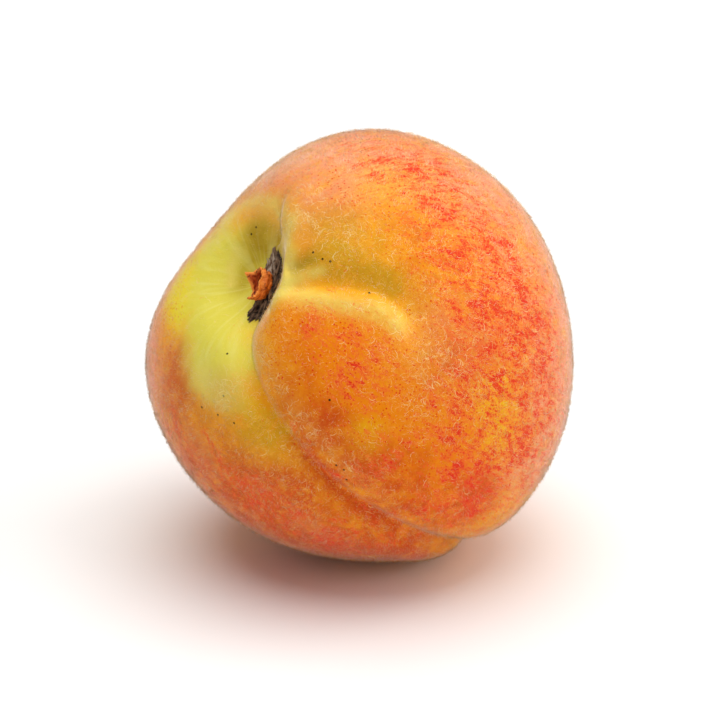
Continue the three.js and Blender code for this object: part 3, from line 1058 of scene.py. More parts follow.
@dataclass(frozen=True)
class SkinFinish:
    """The downy skin: clouded ground tones, red marks, pores, specks and a pale felt of down. Some ground
    tones also paint shade, highlight and the rim's sheen.

    Sizes and depths are in millimetres, and a cover is the share of a tone that is laid on.
    """

    gold: Colour = Colour(242, 160, 26)
    tones: tuple[GroundTone, ...] = (
        GroundTone(Zone.AMBER, Colour(240, 134, 8), 0.9),
        GroundTone(Zone.ROSE, Colour(246, 150, 110), 1.2),
        # red-brown, and painted shade low down and in the groove
        GroundTone(Zone.RUSSET_AND_SHADE, Colour(206, 74, 14), 1.2),
        # Yellow, and the painted highlight along the first crease
        GroundTone(Zone.YELLOW_AND_CREASE_HIGHLIGHT, Colour(240, 186, 14), 1.6),
        # darker gold, and painted shade in the creases
        GroundTone(Zone.DUSK_AND_CREASE_SHADE, Colour(208, 152, 26), 0.7),
        GroundTone(Zone.LEMON, Colour(240, 216, 44), 0.5),
        GroundTone(Zone.LEAF, Colour(224, 211, 80), 0.4),
        # painted shade in the cavity's hollows and the second crease
        GroundTone(Zone.OLIVE_SHADE, Colour(176, 144, 26), 0.6),
        # pale, and painted highlight on the creases' lips and a ridge in the cavity
        GroundTone(Zone.STRAW_AND_RIDGE_HIGHLIGHT, Colour(232, 210, 100), 0.7),
        # pale peach, and painted sheen along the rim
        GroundTone(Zone.BLOOM, Colour(244, 184, 148), 0.8),
    )
    cloud_size: float = 2.6
    vein: Colour = Colour(242, 236, 150)
    vein_size: float = 6.5
    vein_cover: float = 0.36
    wash: Colour = Colour(242, 90, 50)
    wash_cover: float = 0.62
    red: Colour = Colour(228, 34, 30)
    red_cover: float = 0.88
    dash_size: float = 0.8
    blot_size: float = 1.8
    dot_size: float = 0.3
    pore: Colour = Colour(222, 44, 6)
    pore_pitch: float = 0.5
    flock_size: float = 1.5
    # the colour of thick down, also used as painted sheen on the suture's high lip
    tan_and_lip_sheen: Colour = Colour(222, 134, 68)
    fleck: Colour = Colour(255, 192, 80)
    felt_size: float = 0.34
    felt_depth: float = 0.06
    drift_size: float = 3.2
    loop_size: float = 0.62
    break_size: float = 0.9
    gap_cover: float = 0.42
    fleck_cover: float = 0.24
    curl_cover: float = 0.5
    dimple_size: float = 1.6
    dimple_depth: float = 0.1
    speck: Colour = Colour(40, 22, 10)
    speck_radius: float = 0.17
    gloss: float = 0.04
    sheen: float = 1.0
    sheen_roughness: float = 0.22
    sheen_tint: Colour = Colour(246, 226, 226)

    def material(self, specks: list[Vector]) -> bpy.types.Material:
        """Makes the skin's material.

        Args:
            specks: Where the dark specks lie, in metres.

        Returns:
            The material.
        """
        bench = Bench("peach_skin")
        place = bench.place()
        along = bench.vector("grain")
        felt = bench.grain(place, self.felt_size, 2.0, 1.6)
        colour = self.ground(bench, place)
        colour = self._veins(bench, along, colour)
        colour = self._marks(bench, place, along, colour)
        colour = self._pores(bench, place, colour)
        colour = self._bloom(bench, place, colour, felt)
        nearest = bench.least(*(bench.away_from(place, speck) for speck in specks))
        radius = self.speck_radius * MM
        colour = bench.coat(colour, self.speck, bench.window(nearest, radius * 1.25, radius * 0.75))
        dimples = bench.relief(bench.grain(place, self.dimple_size), self.dimple_depth)
        bench.feed(bench.shader.inputs["Sheen Weight"], self.sheen)
        bench.feed(bench.shader.inputs["Sheen Roughness"], self.sheen_roughness)
        bench.feed(bench.shader.inputs["Sheen Tint"], self.sheen_tint)
        roughness = bench.window(felt, 0.3, 0.7, (0.52, 0.72))
        return bench.finish(colour, roughness, self.gloss, bench.relief(felt, self.felt_depth, dimples))

    def ground(self, bench: Bench, place: Socket) -> Socket:
        """Lays the ground tones over each other with clouded edges.

        Args:
            bench: The material's bench.
            place: The point on the skin.

        Returns:
            The colour.
        """
        cloud = bench.grain(place, self.cloud_size, 4.0, 0.4)
        colour: Socket | Colour = self.gold
        # Some tones are painted shade, highlight and sheen, and the down's hairs take them too.
        for tone in self.tones:
            ragged = bench.sum(bench.swing(cloud, tone.ragged), 1.0)
            share = bench.product(bench.number(tone.zone.value), ragged)
            colour = bench.coat(colour, tone.colour, bench.window(share, 0.0, 0.9))
        return colour

    def _veins(self, bench: Bench, along: Socket, colour: Socket) -> Socket:
        """Lays pale veins that run out from the stalk on the bare skin of the cavity.

        Args:
            bench: The material's bench.
            along: The vector that runs along the meridians.
            colour: The colour below.

        Returns:
            The colour.
        """
        streaks = bench.grain(bench.stretched(along, (1.0, 1.0, 0.6)), self.vein_size, 2.0, 0.8)
        share = bench.product(bench.number(Zone.LEAF.value), bench.window(streaks, 0.42, 0.76))
        return bench.coat(colour, self.vein, bench.product(share, self.vein_cover))

    def _marks(self, bench: Bench, place: Socket, along: Socket, colour: Socket) -> Socket:
        """Lays on the red marks: dots and short dashes that merge, in a wash, where the blush is strong.

        Args:
            bench: The material's bench.
            place: The point on the skin.
            along: The vector that runs along the meridians.
            colour: The colour below.

        Returns:
            The colour.
        """
        dashes = bench.grain(bench.stretched(along, (1.0, 1.0, 0.38)), self.dash_size, 3.0)
        blots = bench.grain(place, self.blot_size, 3.0, 0.6)
        dots = bench.grain(place, self.dot_size, 1.0, 0.8)
        swings = (bench.swing(dashes, 0.55), bench.swing(blots, 0.32), bench.swing(dots, 0.45))
        drive = bench.sum(bench.number(Zone.BLUSH.value), *swings)
        wash = bench.product(bench.window(drive, 0.28, 0.64), self.wash_cover)
        red = bench.product(bench.window(drive, 0.60, 0.78), self.red_cover)
        return bench.coat(bench.coat(colour, self.wash, wash), self.red, red)

    def _pores(self, bench: Bench, place: Socket, colour: Socket) -> Socket:
        """Lays on the pores: fine red dots, none on the green skin of the cavity.

        Args:
            bench: The material's bench.
            place: The point on the skin.
            colour: The colour below.

        Returns:
            The colour.
        """
        away, chance = bench.dots(place, self.pore_pitch)
        dot = bench.window(away, 0.36, 0.20)
        picked = bench.window(chance, 0.2, 0.7)
        green = bench.sum(*(bench.number(zone.value) for zone in (Zone.LEAF, Zone.STRAW_AND_RIDGE_HIGHLIGHT, Zone.DUSK_AND_CREASE_SHADE)))
        ripe = bench.window(green, 0.6, 0.1)
        flocks = bench.window(bench.grain(place, self.flock_size), 0.38, 0.60, (0.3, 1.0))
        return bench.coat(colour, self.pore, bench.product(dot, picked, ripe, flocks))

    def _bloom(self, bench: Bench, place: Socket, colour: Socket, felt: Socket) -> Socket:
        """Lays on the pale felt that the down makes: flecks and curls where it is thick.

        Args:
            bench: The material's bench.
            place: The point on the skin.
            colour: The colour below.
            felt: The felt's noise.

        Returns:
            The colour.
        """
        # Thick down's colour; its stroke on the suture's high lip paints the sheen where the lip curls into
        # the groove.
        tan_and_lip_sheen = bench.product(bench.number(Zone.TAN.value), bench.window(felt, 0.25, 0.7, (0.3, 0.85)))
        clothed = bench.window(bench.number(Zone.BARE.value), 0.8, 0.1)
        drifts = bench.window(bench.grain(place, self.drift_size, 3.0, 0.5), 0.35, 0.65, (0.35, 1.0))
        thick = bench.product(clothed, drifts)
        gaps = bench.window(felt, 0.46, 0.32)
        flecks = bench.window(felt, 0.50, 0.64)
        loops = bench.grain(place, self.loop_size, 1.0, 1.4)
        broken = bench.window(bench.grain(place, self.break_size), 0.44, 0.56)
        curls = bench.product(bench.window(loops, 0.45, 0.49), bench.window(loops, 0.56, 0.52), broken)
        colour = bench.coat(colour, self.tan_and_lip_sheen, tan_and_lip_sheen)
        colour = bench.coat(colour, self.wash, bench.product(gaps, thick, self.gap_cover))
        colour = bench.coat(colour, self.fleck, bench.product(flecks, thick, self.fleck_cover))
        return bench.coat(colour, self.fleck, bench.product(curls, thick, self.curl_cover))


@dataclass
class Skin:
    """The fruit's skin.

    Its mesh is finer on the crowds: rows of a middle and a width in degrees, and how much finer it is.
    """

    form: PeachForm
    finish: SkinFinish = SkinFinish()
    segments: int = 330
    rings: int = 272
    polar_crowds: Rows = ((16, 26, 0.9),)
    around_crowds: Rows = ((0, 9, 1.8), (55, 14, 0.9), (130, 16, 0.5))
    smooth_below: float = 50.0
    specks: Rows = (
        (13.5, 172), (14.5, 163), (23.5, 72), (26, 68), (28, 67), (39, 57), (33, -24), (37, -40), (45, 17),
        (59, 5.5), (61, 6.2), (64, 4.5), (40, -22), (38, -30), (22, -22),
    )

    def build(self) -> bpy.types.Object:
        """Shapes, lays down, cuts and dresses the skin.

        Returns:
            The skin's piece, which rides on the body and replaces the plain solid.
        """
        skin = new_ball("peach_skin", self.segments, self.rings, self.form.radius)
        polar, around = ball_places(skin)
        polar = self._crowded(polar, 0.0, 180.0, self.polar_crowds)
        around = self._crowded(around, -180.0, 180.0, self.around_crowds)
        around = around + profile(self.form.suture.bow, polar)
        points = self.form.skin(polar, around)
        low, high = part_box("fruit")
        self.form.settle(points, low, high)
        move_points(skin, self.form.laid(points))
        self._keep_tones(skin, polar, around)
        self._cut_flat()
        skin.data.materials.append(self.finish.material(self._speck_points()))
        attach(skin, "root")
        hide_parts("fruit")
        log.info("%s: %d faces", skin.name, len(skin.data.polygons))
        return skin

    @staticmethod
    def _crowded(angle: Array, start: float, end: float, crowds: Rows) -> Array:
        """Moves even angles closer together on the crowds.

        Args:
            angle: The even angles.
            start: The first of their range.
            end: The last of their range.
            crowds: Where they lie closer.

        Returns:
            The moved angles.
        """
        edges = np.linspace(start, end, 721)
        middles = (edges[1:] + edges[:-1]) / 2.0
        density = np.ones_like(middles)
        for at, width, more in crowds:
            density += more * bell((middles - at) / width)
        passed = np.concatenate([[0.0], np.cumsum(density)])
        return np.interp((angle - start) / (end - start) * passed[-1], passed, edges)

    def _keep_tones(self, skin: bpy.types.Object, polar: Array, around: Array) -> None:
        """Keeps the zones' shares, and a vector whose last axis runs along the meridians.

        Args:
            skin: The skin.
            polar: Angles of its vertices from the stalk axis.
            around: Their angles about that axis.
        """
        toward = direction(polar, around)
        for zone in Zone:
            store(skin, zone.value, zone_share(zone, toward))
        radius = self.form.radius * MM
        a, p = np.radians(around), np.radians(polar)
        store(skin, "grain", np.stack([np.cos(a), np.sin(a), p], -1) * radius)

    def _cut_flat(self) -> None:
        """Cuts the flat that the fruit rests on, and smooths the rest."""
        with editing():
            bpy.ops.mesh.bisect(
                plane_co=(0, 0, 0), plane_no=(0, 0, 1), use_fill=True, clear_inner=True, threshold=1e-7
            )
        bpy.ops.object.shade_smooth_by_angle(angle=math.radians(self.smooth_below))

    def _speck_points(self) -> list[Vector]:
        """Where the specks lie, in metres."""
        places = np.array(self.specks, float)
        return [Vector(p) for p in self.form.laid(self.form.skin(places[:, 0], places[:, 1]))]


# ---- The down -----------------------------------------------------------------------------------
@dataclass(frozen=True)
class DownFinish:
    """The down's hairs: thin and clear, so that the skin's own tone shows through their cream.

    They have no relief, because they are lit by the skin's normals and not by their own sides. Least and
    most say how much of the cream a hair may have.
    """

    name: str
    cream: Colour
    least: float
    most: float
    skin: SkinFinish = SkinFinish()
    wisp_size: float = 0.5
    gloss: float = 0.08

    def material(self) -> bpy.types.Material:
        """Makes the hairs' material.

        Returns:
            The material.
        """
        bench = Bench(self.name)
        place = bench.place()
        wisp = bench.grain(place, self.wisp_size)
        clear = bench.sum(bench.number("tint"), bench.swing(wisp, 0.3))
        milky = bench.window(clear, 0.0, 1.0, (self.least, self.most))
        colour = bench.coat(self.skin.ground(bench, place), self.cream, milky)
        return bench.finish(colour, bench.window(wisp, 0.3, 0.7, (0.55, 0.75)), self.gloss)


@dataclass(frozen=True)
class HairKind:
    """One kind of hair: its pieces, count, steps from root to tip, length, radius, lean and curl.

    Lengths are in millimetres, the lean is in degrees from upright, and the curl in radians from root to
    tip. It grows as thick as spread all over, and thicker by tuft on the tufts.
    """

    belts: tuple[str, ...]
    finish: DownFinish
    count: int
    steps: int
    length: Pair
    radius: float
    lean: Pair
    curl: float
    tuft: float
    spread: float = 1.0


@dataclass
class Down:
    """The down on the skin: short hairs all over, and longer ones that curl, each kind in belts.

    Bare skin has fewer hairs, by the share of bared. They clump over one length and lie along a flow that
    swirls over another, both in millimetres.
    """

    form: PeachForm
    short: HairKind = HairKind(
        ("down_short_stalk_end", "down_short_tip_end"),
        DownFinish("short_down", Colour(255, 230, 200), 0.3, 0.8),
        58_000, 1, (0.40, 0.75), 0.022, (10.0, 50.0), 0.0, 0.5,
    )
    curly: HairKind = HairKind(
        ("down_curls_stalk_end", "down_curls_middle", "down_curls_tip_end"),
        DownFinish("curled_down", Colour(255, 220, 146), 0.05, 0.6),
        28_500, 3, (0.5, 1.3), 0.032, (62.0, 86.0), 2.0, 1.6,
    )
    tufted: HairKind = HairKind(
        ("down_tufts",), DownFinish("tufted_down", Colour(255, 234, 170), 0.3, 0.8),
        1_800, 3, (0.8, 1.7), 0.042, (62.0, 84.0), 2.6, 1.0, 0.03,
    )
    rooted: float = 0.03
    floor_gap: float = 0.05
    bared: float = 0.93
    clump: float = 1.3
    clumping: float = 0.45
    swirl: float = 5.0
    swirl_turn: float = 7.0
    stray: float = 0.8
    least_curl: float = 0.3
    seed: int = 7

    def build(self, skin: bpy.types.Object) -> list[bpy.types.Object]:
        """Grows the down. It is so thin and clear that it holds back no light and throws back none.

        Args:
            skin: The fruit's skin.

        Returns:
            The down's pieces, which ride on the body.
        """
        random = np.random.default_rng(self.seed)
        stalk = self.form.rotation()[:, 2]
        pieces = []
        for kind in (self.short, self.curly, self.tufted):
            material = kind.finish.material()
            roots, normals = self._roots(skin, kind, random)
            order = np.argsort(-(roots @ stalk))
            for name, belt in zip(kind.belts, np.array_split(order, len(kind.belts))):
                piece = self._grow(name, kind, roots[belt], normals[belt], random)
                piece.data.materials.append(material)
                piece.visible_shadow = False
                piece.visible_diffuse = False
                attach(piece, "root")
                log.info("%s: %d faces", piece.name, len(piece.data.polygons))
                pieces.append(piece)
        return pieces

    def _roots(
        self, skin: bpy.types.Object, kind: HairKind, random: np.random.Generator
    ) -> tuple[Array, Array]:
        """Scatters roots over the skin, few where it is bare and many on its tufts.

        Args:
            skin: The fruit's skin.
            kind: The kind of hair.
            random: Where the chances come from.

        Returns:
            The roots and the skin's normals there, in metres, one a row.
        """
        points = points_of(skin)
        corners = self._in_order(points, triangles_of(skin))
        flat = np.empty(len(points) * 3)
        skin.data.vertices.foreach_get("normal", flat)
        normals = flat.reshape(-1, 3)
        a, b, c = (points[corners[:, i]] for i in range(3))
        area = np.linalg.norm(np.cross(b - a, c - a), axis=1)
        bare, tuft = (stored(skin, zone.value)[corners].mean(1) for zone in (Zone.BARE, Zone.TUFT))
        density = (1.0 - self.bared * bare) * (kind.spread + kind.tuft * tuft)
        off_floor = np.minimum(np.minimum(a, b), c)[:, 2] > self.floor_gap * MM
        weight = area * density * off_floor
        tries = kind.count * 2
        chosen = random.choice(len(corners), tries, p=weight / weight.sum())
        mix = random.dirichlet((1.0, 1.0, 1.0), tries)[:, :, None]
        roots = (points[corners[chosen]] * mix).sum(1)
        upright = (normals[corners[chosen]] * mix).sum(1)
        luck = random.random(tries) - self.clumping * drift(roots, self.clump)
        keep = np.argsort(luck, kind="stable")[: kind.count]
        return roots[keep], unit(upright[keep])

    @staticmethod
    def _in_order(points: Array, triangles: NDArray[np.int32]) -> NDArray[np.int64]:
        """Puts triangles, and the corners of each, in an order that only their places decide.

        A new ball has its faces in another order each time, and the roots must fall on the same places.

        Args:
            points: The vertices.
            triangles: The corners of each triangle.

        Returns:
            The same triangles in that order, with no regard to which way they face.
        """
        by_place = np.lexsort(points.T)
        rank = np.argsort(by_place)
        ranked = np.sort(rank[triangles], axis=1)
        return by_place[ranked[np.lexsort(ranked.T)]]

    def _grow(
        self, name: str, kind: HairKind, roots: Array, normals: Array, random: np.random.Generator
    ) -> bpy.types.Object:
        """Grows hairs on roots, with the skin's normals and ground tones.

        Args:
            name: The piece's name.
            kind: The kind of hair.
            roots: Where they grow.
            normals: The skin's normals there.
            random: Where the chances come from.

        Returns:
            The piece.
        """
        pattern = self._one_hair(kind)
        points = self._curled(pattern, kind, roots, normals, random)
        clear = points[:, :, 2].min(1) > self.floor_gap * MM
        count = int(clear.sum())
        hairs = repeated(name, points[clear], pattern)
        corners = len(pattern.points)
        hairs.data.normals_split_custom_set_from_vertices(np.repeat(normals[clear], corners, axis=0))
        store(hairs, "tint", np.repeat(random.random(count), corners))
        toward = self.form.direction_of(roots[clear])
        for tone in kind.finish.skin.tones:
            store(hairs, tone.zone.value, np.repeat(zone_share(tone.zone, toward), corners))
        self._unwrap(hairs, pattern, count)
        return hairs

    def _curled(
        self, pattern: Pattern, kind: HairKind, roots: Array, normals: Array, random: np.random.Generator
    ) -> Array:
        """Bends the pattern along each hair's arc, which keeps to a plane of its own.

        Args:
            pattern: One upright hair.
            kind: The kind of hair.
            roots: Where the hairs grow.
            normals: The skin's normals there.
            random: Where the chances come from.

        Returns:
            The hairs' points, as hairs by points by 3.
        """
        count = len(roots)
        east = unit(np.cross(self.form.rotation()[:, 2], normals))
        north = np.cross(normals, east)
        heading = self.swirl_turn * drift(roots, self.swirl) + random.normal(0.0, self.stray, count)
        flat_way = np.cos(heading)[:, None] * north + np.sin(heading)[:, None] * east
        side_way = np.cross(normals, flat_way)
        lean = np.radians(random.uniform(*kind.lean, count))
        way = np.cos(lean)[:, None] * normals + np.sin(lean)[:, None] * flat_way
        length = random.uniform(*kind.length, count)[:, None, None] * MM
        bend = random.uniform(self.least_curl, 1.0, count) * random.choice((-1.0, 1.0), count)
        turn = (bend * kind.curl + STRAIGHT)[:, None, None]
        x, y, t = (axis[None, :, None] for axis in pattern.points.T)
        ahead, aside, up = (axis[:, None] for axis in (way, side_way, np.cross(way, side_way)))
        turned = turn * t
        arc = (np.sin(turned) * ahead + (1.0 - np.cos(turned)) * aside) / turn
        # the ring turns with the arc, with the flat side of the three-sided hair away from the skin
        ring = x * (np.cos(turned) * aside - np.sin(turned) * ahead) + y * up
        foot = (roots - self.rooted * MM * normals)[:, None]
        return foot + length * arc - kind.radius * MM * ring

    @staticmethod
    def _one_hair(kind: HairKind) -> Pattern:
        """Models one upright hair of height 1 and root radius 1: three sides, drawn to a point.

        Args:
            kind: The kind of hair, for its steps.

        Returns:
            The pattern.
        """
        bpy.ops.object.select_all(action="DESELECT")
        bpy.ops.mesh.primitive_circle_add(vertices=3, radius=1.0, fill_type="NGON")
        with editing():
            for _ in range(kind.steps):
                bpy.ops.mesh.extrude_region_move(TRANSFORM_OT_translate={"value": (0, 0, 1.0 / kind.steps)})
                bpy.ops.transform.resize(value=(0.8, 0.8, 1.0))
            bpy.ops.mesh.merge(type="CENTER")
            bpy.ops.mesh.select_all(action="SELECT")
            bpy.ops.mesh.normals_make_consistent(inside=False)
        return Pattern.taken_from(bpy.context.object)

    @staticmethod
    def _unwrap(hairs: bpy.types.Object, pattern: Pattern, count: int) -> None:
        """Gives each hair a small cell of its own in the piece's UV map.

        Args:
            hairs: The piece.
            pattern: One hair.
            count: How many hairs there are.
        """
        columns = math.ceil(math.sqrt(count))
        cells = np.arange(count)
        centres = np.stack([cells % columns + 0.5, cells // columns + 0.5], -1)
        x, y, t = pattern.points.T
        round_way = np.arctan2(y, x)
        spread = (0.42 * (1.0 - 0.9 * t))[:, None] * np.stack([np.cos(round_way), np.sin(round_way)], -1)
        spread[t > 0.999] = 0.0
        places = (centres[:, None] + spread[None]) / columns
        layer = hairs.data.uv_layers.new(name="OFBake")
        corners = places[:, pattern.triangles.ravel()]
        layer.data.foreach_set("uv", corners.astype(np.float32).ravel())


# ---- The bark scar ------------------------------------------------------------------------------
@dataclass(frozen=True)
class BarkFinish:
    """Dry bark: dark gaps, grey-brown fibres and pale ridges. Sizes are in millimetres."""

    gap: Colour = Colour(46, 31, 22)
    fibre: Colour = Colour(124, 98, 76)
    ridge: Colour = Colour(184, 166, 148)
    strand_size: float = 0.3
    patch_size: float = 1.3
    depth: float = 0.12
    gloss: float = 0.25

    def material(self) -> bpy.types.Material:
        """Makes the bark's material.

        Returns:
            The material.
        """
        bench = Bench("scar_bark")
        along = bench.vector("fibres")
        strands = bench.grain(bench.stretched(along, (0.34, 1.0, 1.0)), self.strand_size, 3.0, 0.6)
        patches = bench.grain(along, self.patch_size)
        drive = bench.sum(bench.number("height"), bench.swing(strands, 0.6), bench.swing(patches, 0.4))
        colour = bench.coat(self.gap, self.fibre, bench.window(drive, 0.10, 0.60))
        colour = bench.coat(colour, self.ridge, bench.window(drive, 0.70, 1.15))
        roughness = bench.window(strands, 0.3, 0.7, (0.7, 0.9))
        return bench.finish(colour, roughness, self.gloss, bench.relief(strands, self.depth))


@dataclass
class ScarGround:
    """The scar's ground: where a point along and across it, at some height, lies on the cavity floor."""

    form: PeachForm
    centre: Pair = (1.9, 1.6)
    heading: float = 149.0

    def above(self, along: Array, across: Array, height: Array) -> Array:
        """Points in the fruit's axes over the cavity's floor.

        Args:
            along: Along the scar, in millimetres.
            across: Across the scar.
            height: Above the floor.

        Returns:
            The points, one a row.
        """
        u, v = self.turned(along, across)
        u, v = u + self.centre[0], v + self.centre[1]
        polar = np.degrees(np.arcsin(np.clip(np.hypot(u, v) / self.form.radius, 0.0, 1.0)))
        points = self.form.skin(polar, np.degrees(np.arctan2(v, u)))
        points[:, 2] += height
        return points

    def turned(self, along: Array, across: Array) -> tuple[Array, Array]:
        """A sideways move along and across the scar, in the fruit's u and v.

        Args:
            along: Along the scar, in millimetres.
            across: Across the scar.

        Returns:
            The move along u and the move along v.
        """
        heading = math.radians(self.heading)
        c, s = math.cos(heading), math.sin(heading)
        return along * c - across * s, along * s + across * c


@dataclass
class BarkScar:
    """The crust of bark on the cavity's floor, with the splinters that lie along it.

    Its outline is ragged all round and frayed at its foot, and the fibres drift along it, each by waves. Of
    the splinters, yaw spreads their headings, in radians, sway is how far they wave, and lift how far their
    ends stand off the crust.
    """

    ground: ScarGround
    finish: BarkFinish = BarkFinish()
    half_length: float = 5.8
    half_width: float = 2.5
    blunt: float = 2.6
    ragged: Waves = ((0.06, 5, 1), (0.042, 9, 0), (0.03, 14, 0), (0.03, 31, 0), (0.02, 47, 2))
    frayed: Waves = ((0.08, 26, 0),)
    edge: float = 0.3
    crown: float = 0.45
    sunk: float = 0.25
    fibre: float = 0.24
    fibre_pitch: float = 1.1
    fibre_drift: Waves = ((1.1, 0.9, 0), (0.8, 2.3, 0))
    splinters: int = 40
    splinter_length: Pair = (0.9, 2.6)
    splinter_width: Pair = (0.18, 0.44)
    splinter_depth: Pair = (0.12, 0.26)
    yaw: float = 0.34
    sway: float = 0.16
    lift: float = 0.26
    seed: int = 11

    def build(self) -> bpy.types.Object:
        """Shapes, dresses and lays the scar.

        Returns:
            The scar's piece, which rides on the body and replaces the plain solid.
        """
        scar = join([self._crust(), self._splinters()], "bark_scar_crust")
        scar.data.materials.append(self.finish.material())
        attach(scar, "root")
        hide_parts("bark_scar")
        log.info("%s: %d faces", scar.name, len(scar.data.polygons))
        return scar

    def top(self, along: Array, across: Array) -> Array:
        """Height of the crust's top above the floor.

        Args:
            along: Along the scar, in millimetres.
            across: Across the scar.

        Returns:
            The heights, in millimetres.
        """
        share = np.clip(np.hypot(along / self.half_length, across / self.half_width), 0.0, 1.0)
        wave = across * 2.0 * np.pi / self.fibre_pitch + ripple(along, self.fibre_drift)
        fibres = 1.0 - 2.0 * np.abs(np.sin(wave / 2.0)) ** 0.7
        lumps = np.sin(2.6 * along + 1.1 + 0.9 * across) * np.sin(2.2 * across + 0.4)
        body = self.edge + self.crown * (1.0 - share**3)
        return body + self.fibre * (fibres + lumps) * (1.0 - share**6)

    def _ragged(self, angle: Array) -> Array:
        """How far the outline reaches at an angle about the middle: a blunt oval, frayed at its foot.

        Args:
            angle: The angle, in radians.

        Returns:
            The reach, as a share of the half length and half width.
        """
        blunt = self.blunt
        oval = (np.abs(np.cos(angle)) ** blunt + np.abs(np.sin(angle)) ** blunt) ** (-1.0 / blunt)
        foot = bell((np.abs(angle) - np.pi) / 0.35)
        return oval * (1.0 + ripple(angle, self.ragged) + foot * ripple(angle, self.frayed))

    def _crust(self) -> bpy.types.Object:
        """The crust: a ball laid flat on the floor, ribbed along its length.

        Returns:
            The crust.
        """
        crust = new_ball("crust", 192, 72, 1.0)
        polar, around = ball_places(crust)
        upper = polar <= 90.0
        share = np.sin(np.radians(polar))
        angle = np.radians(around)
        reach = share * self._ragged(angle)
        along = reach * self.half_length * np.cos(angle)
        across = reach * self.half_width * np.sin(angle)
        top = self.top(along, across)
        height = np.where(upper, top, -self.sunk)
        rim = smooth(share, 0.93, 1.0)
        height = height * (1.0 - rim) + rim * (self.edge * 0.5)
        points = self.ground.above(along, across, height)
        move_points(crust, self.ground.form.laid(points))
        raised = (top - self.edge - self.crown * (1.0 - share**3)) / self.fibre
        paler_upper_end = self._paler_upper_end(along, across)
        self._keep(crust, along, across, height, np.clip(0.32 + 0.30 * raised + paler_upper_end, 0.0, 1.3))
        bpy.ops.object.shade_smooth()
        return crust

    @staticmethod
    def _paler_upper_end(along: Array, across: Array) -> Array:
        """How much the bark turns a paler grey, which is at its upper end."""
        return 0.45 * smooth(along, 1.0, 3.4) * smooth(across, -1.4, 0.2)

    def _splinters(self) -> bpy.types.Object:
        """The splinters: slim strips along the scar, whose ends lift off the crust.

        Returns:
            The splinters, as one piece.
        """
        random = np.random.default_rng(self.seed)
        pattern = self._one_splinter()
        count = self.splinters
        angle = random.uniform(-np.pi, np.pi, count)
        share = np.sqrt(random.uniform(0.0, 0.86, count))
        middle_along = share * self.half_length * np.cos(angle)
        middle_across = share * self.half_width * np.sin(angle)
        sizes = (self.splinter_length, self.splinter_width, self.splinter_depth)
        length, width, depth = (random.uniform(*size, count)[:, None] for size in sizes)
        yaw = random.normal(0.0, self.yaw, count)[:, None]
        lift = random.uniform(0.0, self.lift, (count, 2))
        wave = random.uniform(-self.sway, self.sway, count)[:, None]
        x, y, z = pattern.points.T
        run = x * length / 2.0
        sway = y * width / 2.0 + wave * np.cos(2.2 * x)
        along = middle_along[:, None] + run * np.cos(yaw) - sway * np.sin(yaw)
        across = middle_across[:, None] + run * np.sin(yaw) + sway * np.cos(yaw)
        ends = lift[:, :1] * np.clip(-x, 0, 1) ** 2 + lift[:, 1:] * np.clip(x, 0, 1) ** 2
        lying = self.top(along, across) + ends + (z * 0.5 + 0.2) * depth
        points = self.ground.above(along.ravel(), across.ravel(), lying.ravel())
        laid = self.ground.form.laid(points).reshape(count, -1, 3)
        strips = repeated("splinters", laid, pattern)
        tone = random.uniform(-0.3, 0.2, count)[:, None] + 0.5 * z[None]
        raised = 0.45 + 0.4 * tone + self._paler_upper_end(along, across)
        self._keep(strips, along.ravel(), across.ravel(), lying.ravel(), raised.ravel())
        return strips

    @staticmethod
    def _one_splinter() -> Pattern:
        """Models one splinter of length 2: a slim bar that tapers to both ends.

        Returns:
            The pattern.
        """
        bpy.ops.object.select_all(action="DESELECT")
        bpy.ops.mesh.primitive_cube_add(size=2.0)
        with editing():
            bpy.ops.mesh.subdivide(number_cuts=3)
        bar = bpy.context.object
        points = points_of(bar)
        taper = 1.0 - 0.85 * np.abs(points[:, 0]) ** 3
        points[:, 1] *= taper
        points[:, 2] *= taper
        points[:, 2] *= np.sqrt(np.clip(1.0 - 0.5 * points[:, 1] ** 2, 0.0, 1.0))
        move_points(bar, points)
        return Pattern.taken_from(bar)

    @staticmethod
    def _keep(piece: bpy.types.Object, along: Array, across: Array, height: Array, raised: Array) -> None:
        """Keeps what the bark's material reads: the run of the fibres and how high a place stands."""
        store(piece, "fibres", np.stack([along, across, height], -1) * MM)
        store(piece, "height", raised)


# ---- The stub of the stalk ----------------------------------------------------------------------
@dataclass(frozen=True)
class StalkFinish:
    """Freshly torn stalk wood: red-brown inside, orange at its torn rim and outside."""

    inside: Colour = Colour(190, 84, 34)
    outside: Colour = Colour(214, 112, 40)
    rim: Colour = Colour(246, 150, 62)
    dark: Colour = Colour(92, 34, 12)
    strand_size: float = 0.34
    patch_size: float = 1.0
    pale_cover: float = 0.6
    dark_cover: float = 0.8
    depth: float = 0.1
    gloss: float = 0.3

    def material(self) -> bpy.types.Material:
        """Makes the torn wood's material.

        Returns:
            The material.
        """
        bench = Bench("stalk_wood")
        along = bench.vector("fibres")
        strands = bench.grain(bench.stretched(along, (0.30, 0.30, 1.0)), self.strand_size, 3.0, 0.5)
        patches = bench.grain(along, self.patch_size)
        edge = bench.sum(bench.number("level"), bench.swing(patches, 0.25))
        pale = bench.product(bench.window(strands, 0.54, 0.68), self.pale_cover)
        dark = bench.product(bench.window(strands, 0.47, 0.32), self.dark_cover)
        colour = bench.coat(self.outside, self.inside, bench.number("inner"))
        colour = bench.coat(colour, self.rim, bench.window(edge, 0.72, 1.0))
        colour = bench.coat(colour, self.rim, pale)
        colour = bench.coat(colour, self.dark, dark)
        roughness = bench.window(strands, 0.3, 0.7, (0.55, 0.8))
        return bench.finish(colour, roughness, self.gloss, bench.relief(strands, self.depth))


